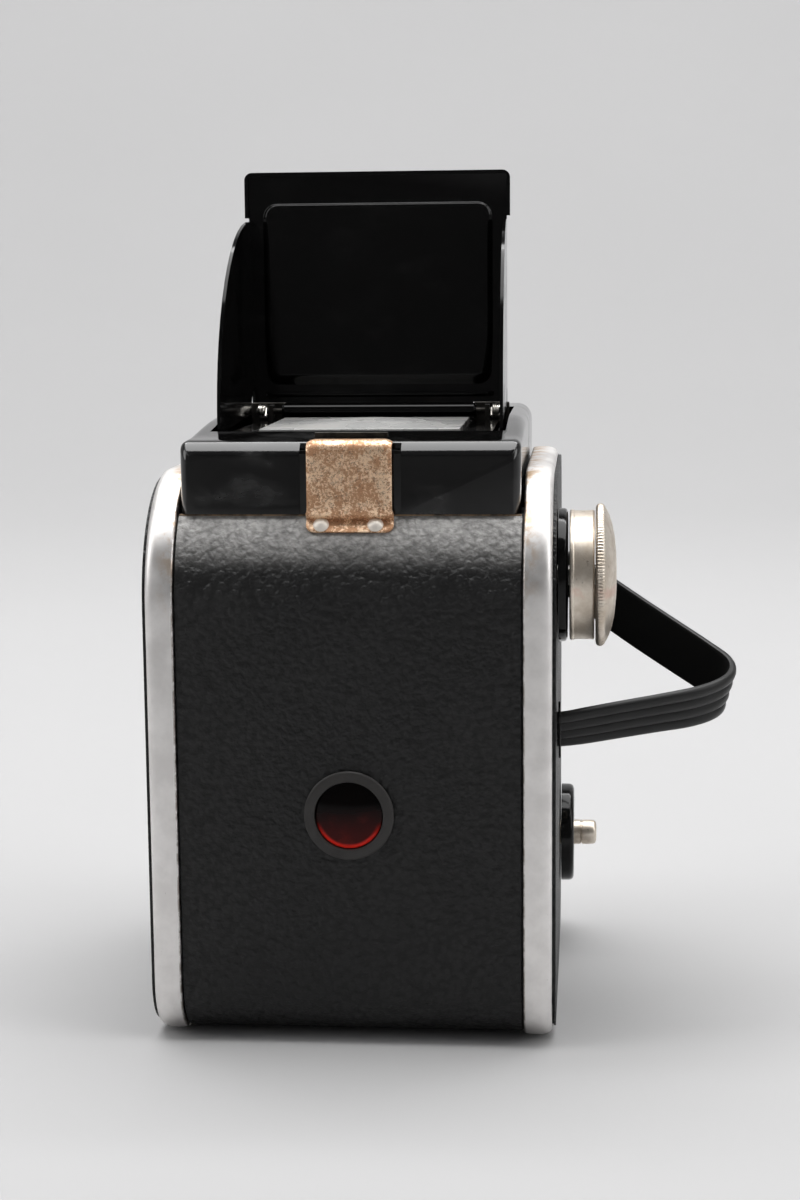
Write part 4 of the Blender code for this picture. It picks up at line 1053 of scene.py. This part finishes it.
def make_strap():
    """The ribbed strap along its route, and a thick stop behind the side panel at each end."""
    shift = Vector((0, low("back_rail_left").y, 0))
    centres = catmull([Vector(point) + shift for point, width in STRAP_ROUTE], 8)
    widths = catmull([Vector(width) for point, width in STRAP_ROUTE], 8)
    profile = strap_section()
    sections = []
    for i, (centre, width) in enumerate(zip(centres, widths)):
        ahead = centres[min(i + 1, len(centres) - 1)] - centres[max(i - 1, 0)]
        if i in (0, len(centres) - 1):
            ahead = Vector((1 if i == 0 else -1, 0, 0))
        ahead.normalize()
        width = (width - width.dot(ahead) * ahead).normalized()
        out = ahead.cross(width)
        sections.append([centre + u * width + v * out for u, v in profile])
    strap = tube("strap_formed", sections, MATERIAL["vinyl"], sharp=42)
    mount(strap, "strap")
    for name, index in (("strap_stop_rear", 0), ("strap_stop_front", -1)):
        centre, width = centres[index], widths[index].normalized()
        across = X_AXIS.cross(width)
        wide, thick = STRAP_WIDTH / 2, 2.1
        corners = [(-wide, -thick), (wide, -thick), (wide, thick), (-wide, thick)]
        starts = [centre + depth * X_AXIS for depth in (0.0, -1.6)]
        ends = [[start + u * width + v * across for u, v in corners] for start in starts]
        stop = rounded(tube(name, ends, MATERIAL["vinyl"]), 0.3)
        added(stop, "case")


# ---- small hardware


def screw_head(name, place, axis, radius, body, turn):
    """Slotted screw head."""
    bright = MATERIAL["steel"]
    profile = [(0.0, 0.5), (radius * 0.6, 0.46), (radius * 0.9, 0.3), (radius, 0.1)]
    profile += [(radius, -0.3), (0.0, -0.3)]
    head = lathe(name, profile, place, axis, bright, 32)
    slot = block("slot", (-radius * 1.2, -0.16, 0.22), (radius * 1.2, 0.16, 1.0), bright)
    slot.data.transform(
        Matrix.Scale(MM, 4)
        @ Matrix.Translation(Vector(place))
        @ towards(axis)
        @ Matrix.Rotation(turn, 4, "Z")
        @ Matrix.Scale(1 / MM, 4)
    )
    added(carve(head, slot), body)


def make_front_details():
    """Four screws near the front plate's corners."""
    hi, inset, low_z, high_z = high("front_plate"), 4.2, 12.5, 100.0
    for i, (side, z) in enumerate(((-1, low_z), (1, low_z), (-1, high_z), (1, high_z))):
        place = (side * (hi.x - inset), hi.y, z)
        screw_head(f"front_plate_screw_{i + 1}", place, Y_AXIS, 1.5, "case", 0.5 + 0.9 * i)


# ---- stage


def stage_material():
    """Matt pale paper, greyer towards -Y behind the camera: painted shade for the dark side of the room."""
    s = Surface("pale_paper", (0.45, 0.45, 0.45), 0.9)
    # Painted shade: the paper darkens to mid grey towards -Y, behind the camera.
    reach = s.ramp(s.axis(1), -2.2, -0.25)
    tone = s.mix(s.ramp(s.noise(400, 2), 0.2, 0.8), (0.442, 0.440, 0.442), (0.455, 0.453, 0.455))
    s.set("Base Color", s.mix(reach, (0.28, 0.28, 0.28), tone))
    s.set("Specular IOR Level", 0.2)
    return s.material


def make_stage():
    """Seamless paper: a round floor that curves up into a wall on every side."""
    floor_radius, bend_radius, wall_height = 1600, 1200, 4500
    bend = [math.radians(90 * i / 16) for i in range(17)]
    profile = [(0, 0)]
    profile += [(floor_radius + bend_radius * math.sin(a), bend_radius * (1 - math.cos(a))) for a in bend]
    profile.append((floor_radius + bend_radius, wall_height))
    lathe("paper_sweep", profile, (0, -600, 0), Z_AXIS, stage_material(), 128)


def area_light(name, place, target, size, power):
    """A softbox in metres and watts, facing its target."""
    light = bpy.data.lights.new(name, "AREA")
    light.shape = "RECTANGLE"
    light.size, light.size_y = size
    light.energy = power
    obj = bpy.data.objects.new(name, light)
    obj.location = place
    obj.rotation_euler = (Vector(target) - Vector(place)).to_track_quat("-Z", "Y").to_euler()
    bpy.context.scene.collection.objects.link(obj)


def make_lights():
    """A large softbox overhead, one at each side, washes on the paper all round, and a dim room."""
    world = bpy.data.worlds.new("studio")
    world.use_nodes = True
    background = world.node_tree.nodes["Background"]
    background.inputs["Color"].default_value = (0.95, 0.96, 1.0, 1)
    background.inputs["Strength"].default_value = 0.13
    bpy.context.scene.world = world
    bpy.context.scene.view_settings.view_transform = "Standard"
    aim = (0, 0, 0.09)
    area_light("softbox_top", (0.0, 0.06, 1.15), aim, (1.3, 0.8), 17.2)
    area_light("softbox_left", (-1.2, -0.35, 0.75), aim, (0.5, 1.0), 4)
    area_light("softbox_right", (1.2, -0.35, 0.75), aim, (0.5, 1.0), 4)
    wash = "paper_wash"
    area_light(wash, (0.0, 1.0, 2.1), (0, 2.2, 0.8), (2.6, 0.6), 45)
    area_light(wash + "_near", (0.0, -1.8, 2.1), (0, -3.4, 0.9), (2.6, 0.6), 15)
    area_light(wash + "_left", (-1.4, -0.5, 2.1), (-2.8, -0.5, 0.8), (2.0, 0.6), 19)
    area_light(wash + "_right", (1.4, -0.5, 2.1), (2.8, -0.5, 0.8), (2.0, 0.6), 19)


def make_camera():
    """Camera behind the object, a little to its right and above, looking slightly down."""
    place, lens, sensor = Vector((0.0471, -0.4579, 0.1527)), 64.2, 36
    yaw, pitch, roll = math.radians(5.06), math.radians(8.43), math.radians(-0.54)
    ahead = Vector((-math.sin(yaw) * math.cos(pitch), math.cos(yaw) * math.cos(pitch), -math.sin(pitch)))
    right = Vector((math.cos(yaw), math.sin(yaw), 0))
    up = right.cross(ahead)
    turn, lean = math.cos(roll), math.sin(roll)
    right, up = turn * right + lean * up, -lean * right + turn * up
    data = bpy.data.cameras.new("camera")
    data.sensor_fit = "VERTICAL"
    data.sensor_height = sensor
    data.lens = lens
    data.clip_start = 0.01
    camera = bpy.data.objects.new("camera", data)
    columns = (right, up, -ahead, place)
    camera.matrix_world = Matrix([(*row, w) for *row, w in zip(*columns)] + [(0, 0, 0, 1)])
    bpy.context.scene.collection.objects.link(camera)
    bpy.context.scene.camera = camera


# ---- everything

# Bevel widths of the CAD nodes that keep their shape, in millimetres
PLAIN_WIDTHS = {
    "side_panel_left": 0.3, "side_panel_right": 0.3, "glass_frame": 0.35,
    "base_plate": 0.5, "lens_panel": 0.25, "takeup_spool": 0.2,
}

make_camera()
make_rails()
make_housing()
make_hood()
make_hinge()
make_window()
make_skin_edge()
make_clip()
make_knob()
make_release()
make_lens_rings()
make_tripod_bush()
make_strap()
make_front_details()
dressed("finder_lens", 0.2, ground_glass())
dressed("front_plate", 0.45, aluminium("front_aluminium", stained=False))
dressed("back_leatherette", 0.25, leatherette("back_cloth", painted_top_highlight=True))
for node in sorted(frame["nodes"]):
    if node not in done:
        dressed(node, PLAIN_WIDTHS.get(node, 0.12))
make_stage()
make_lights()
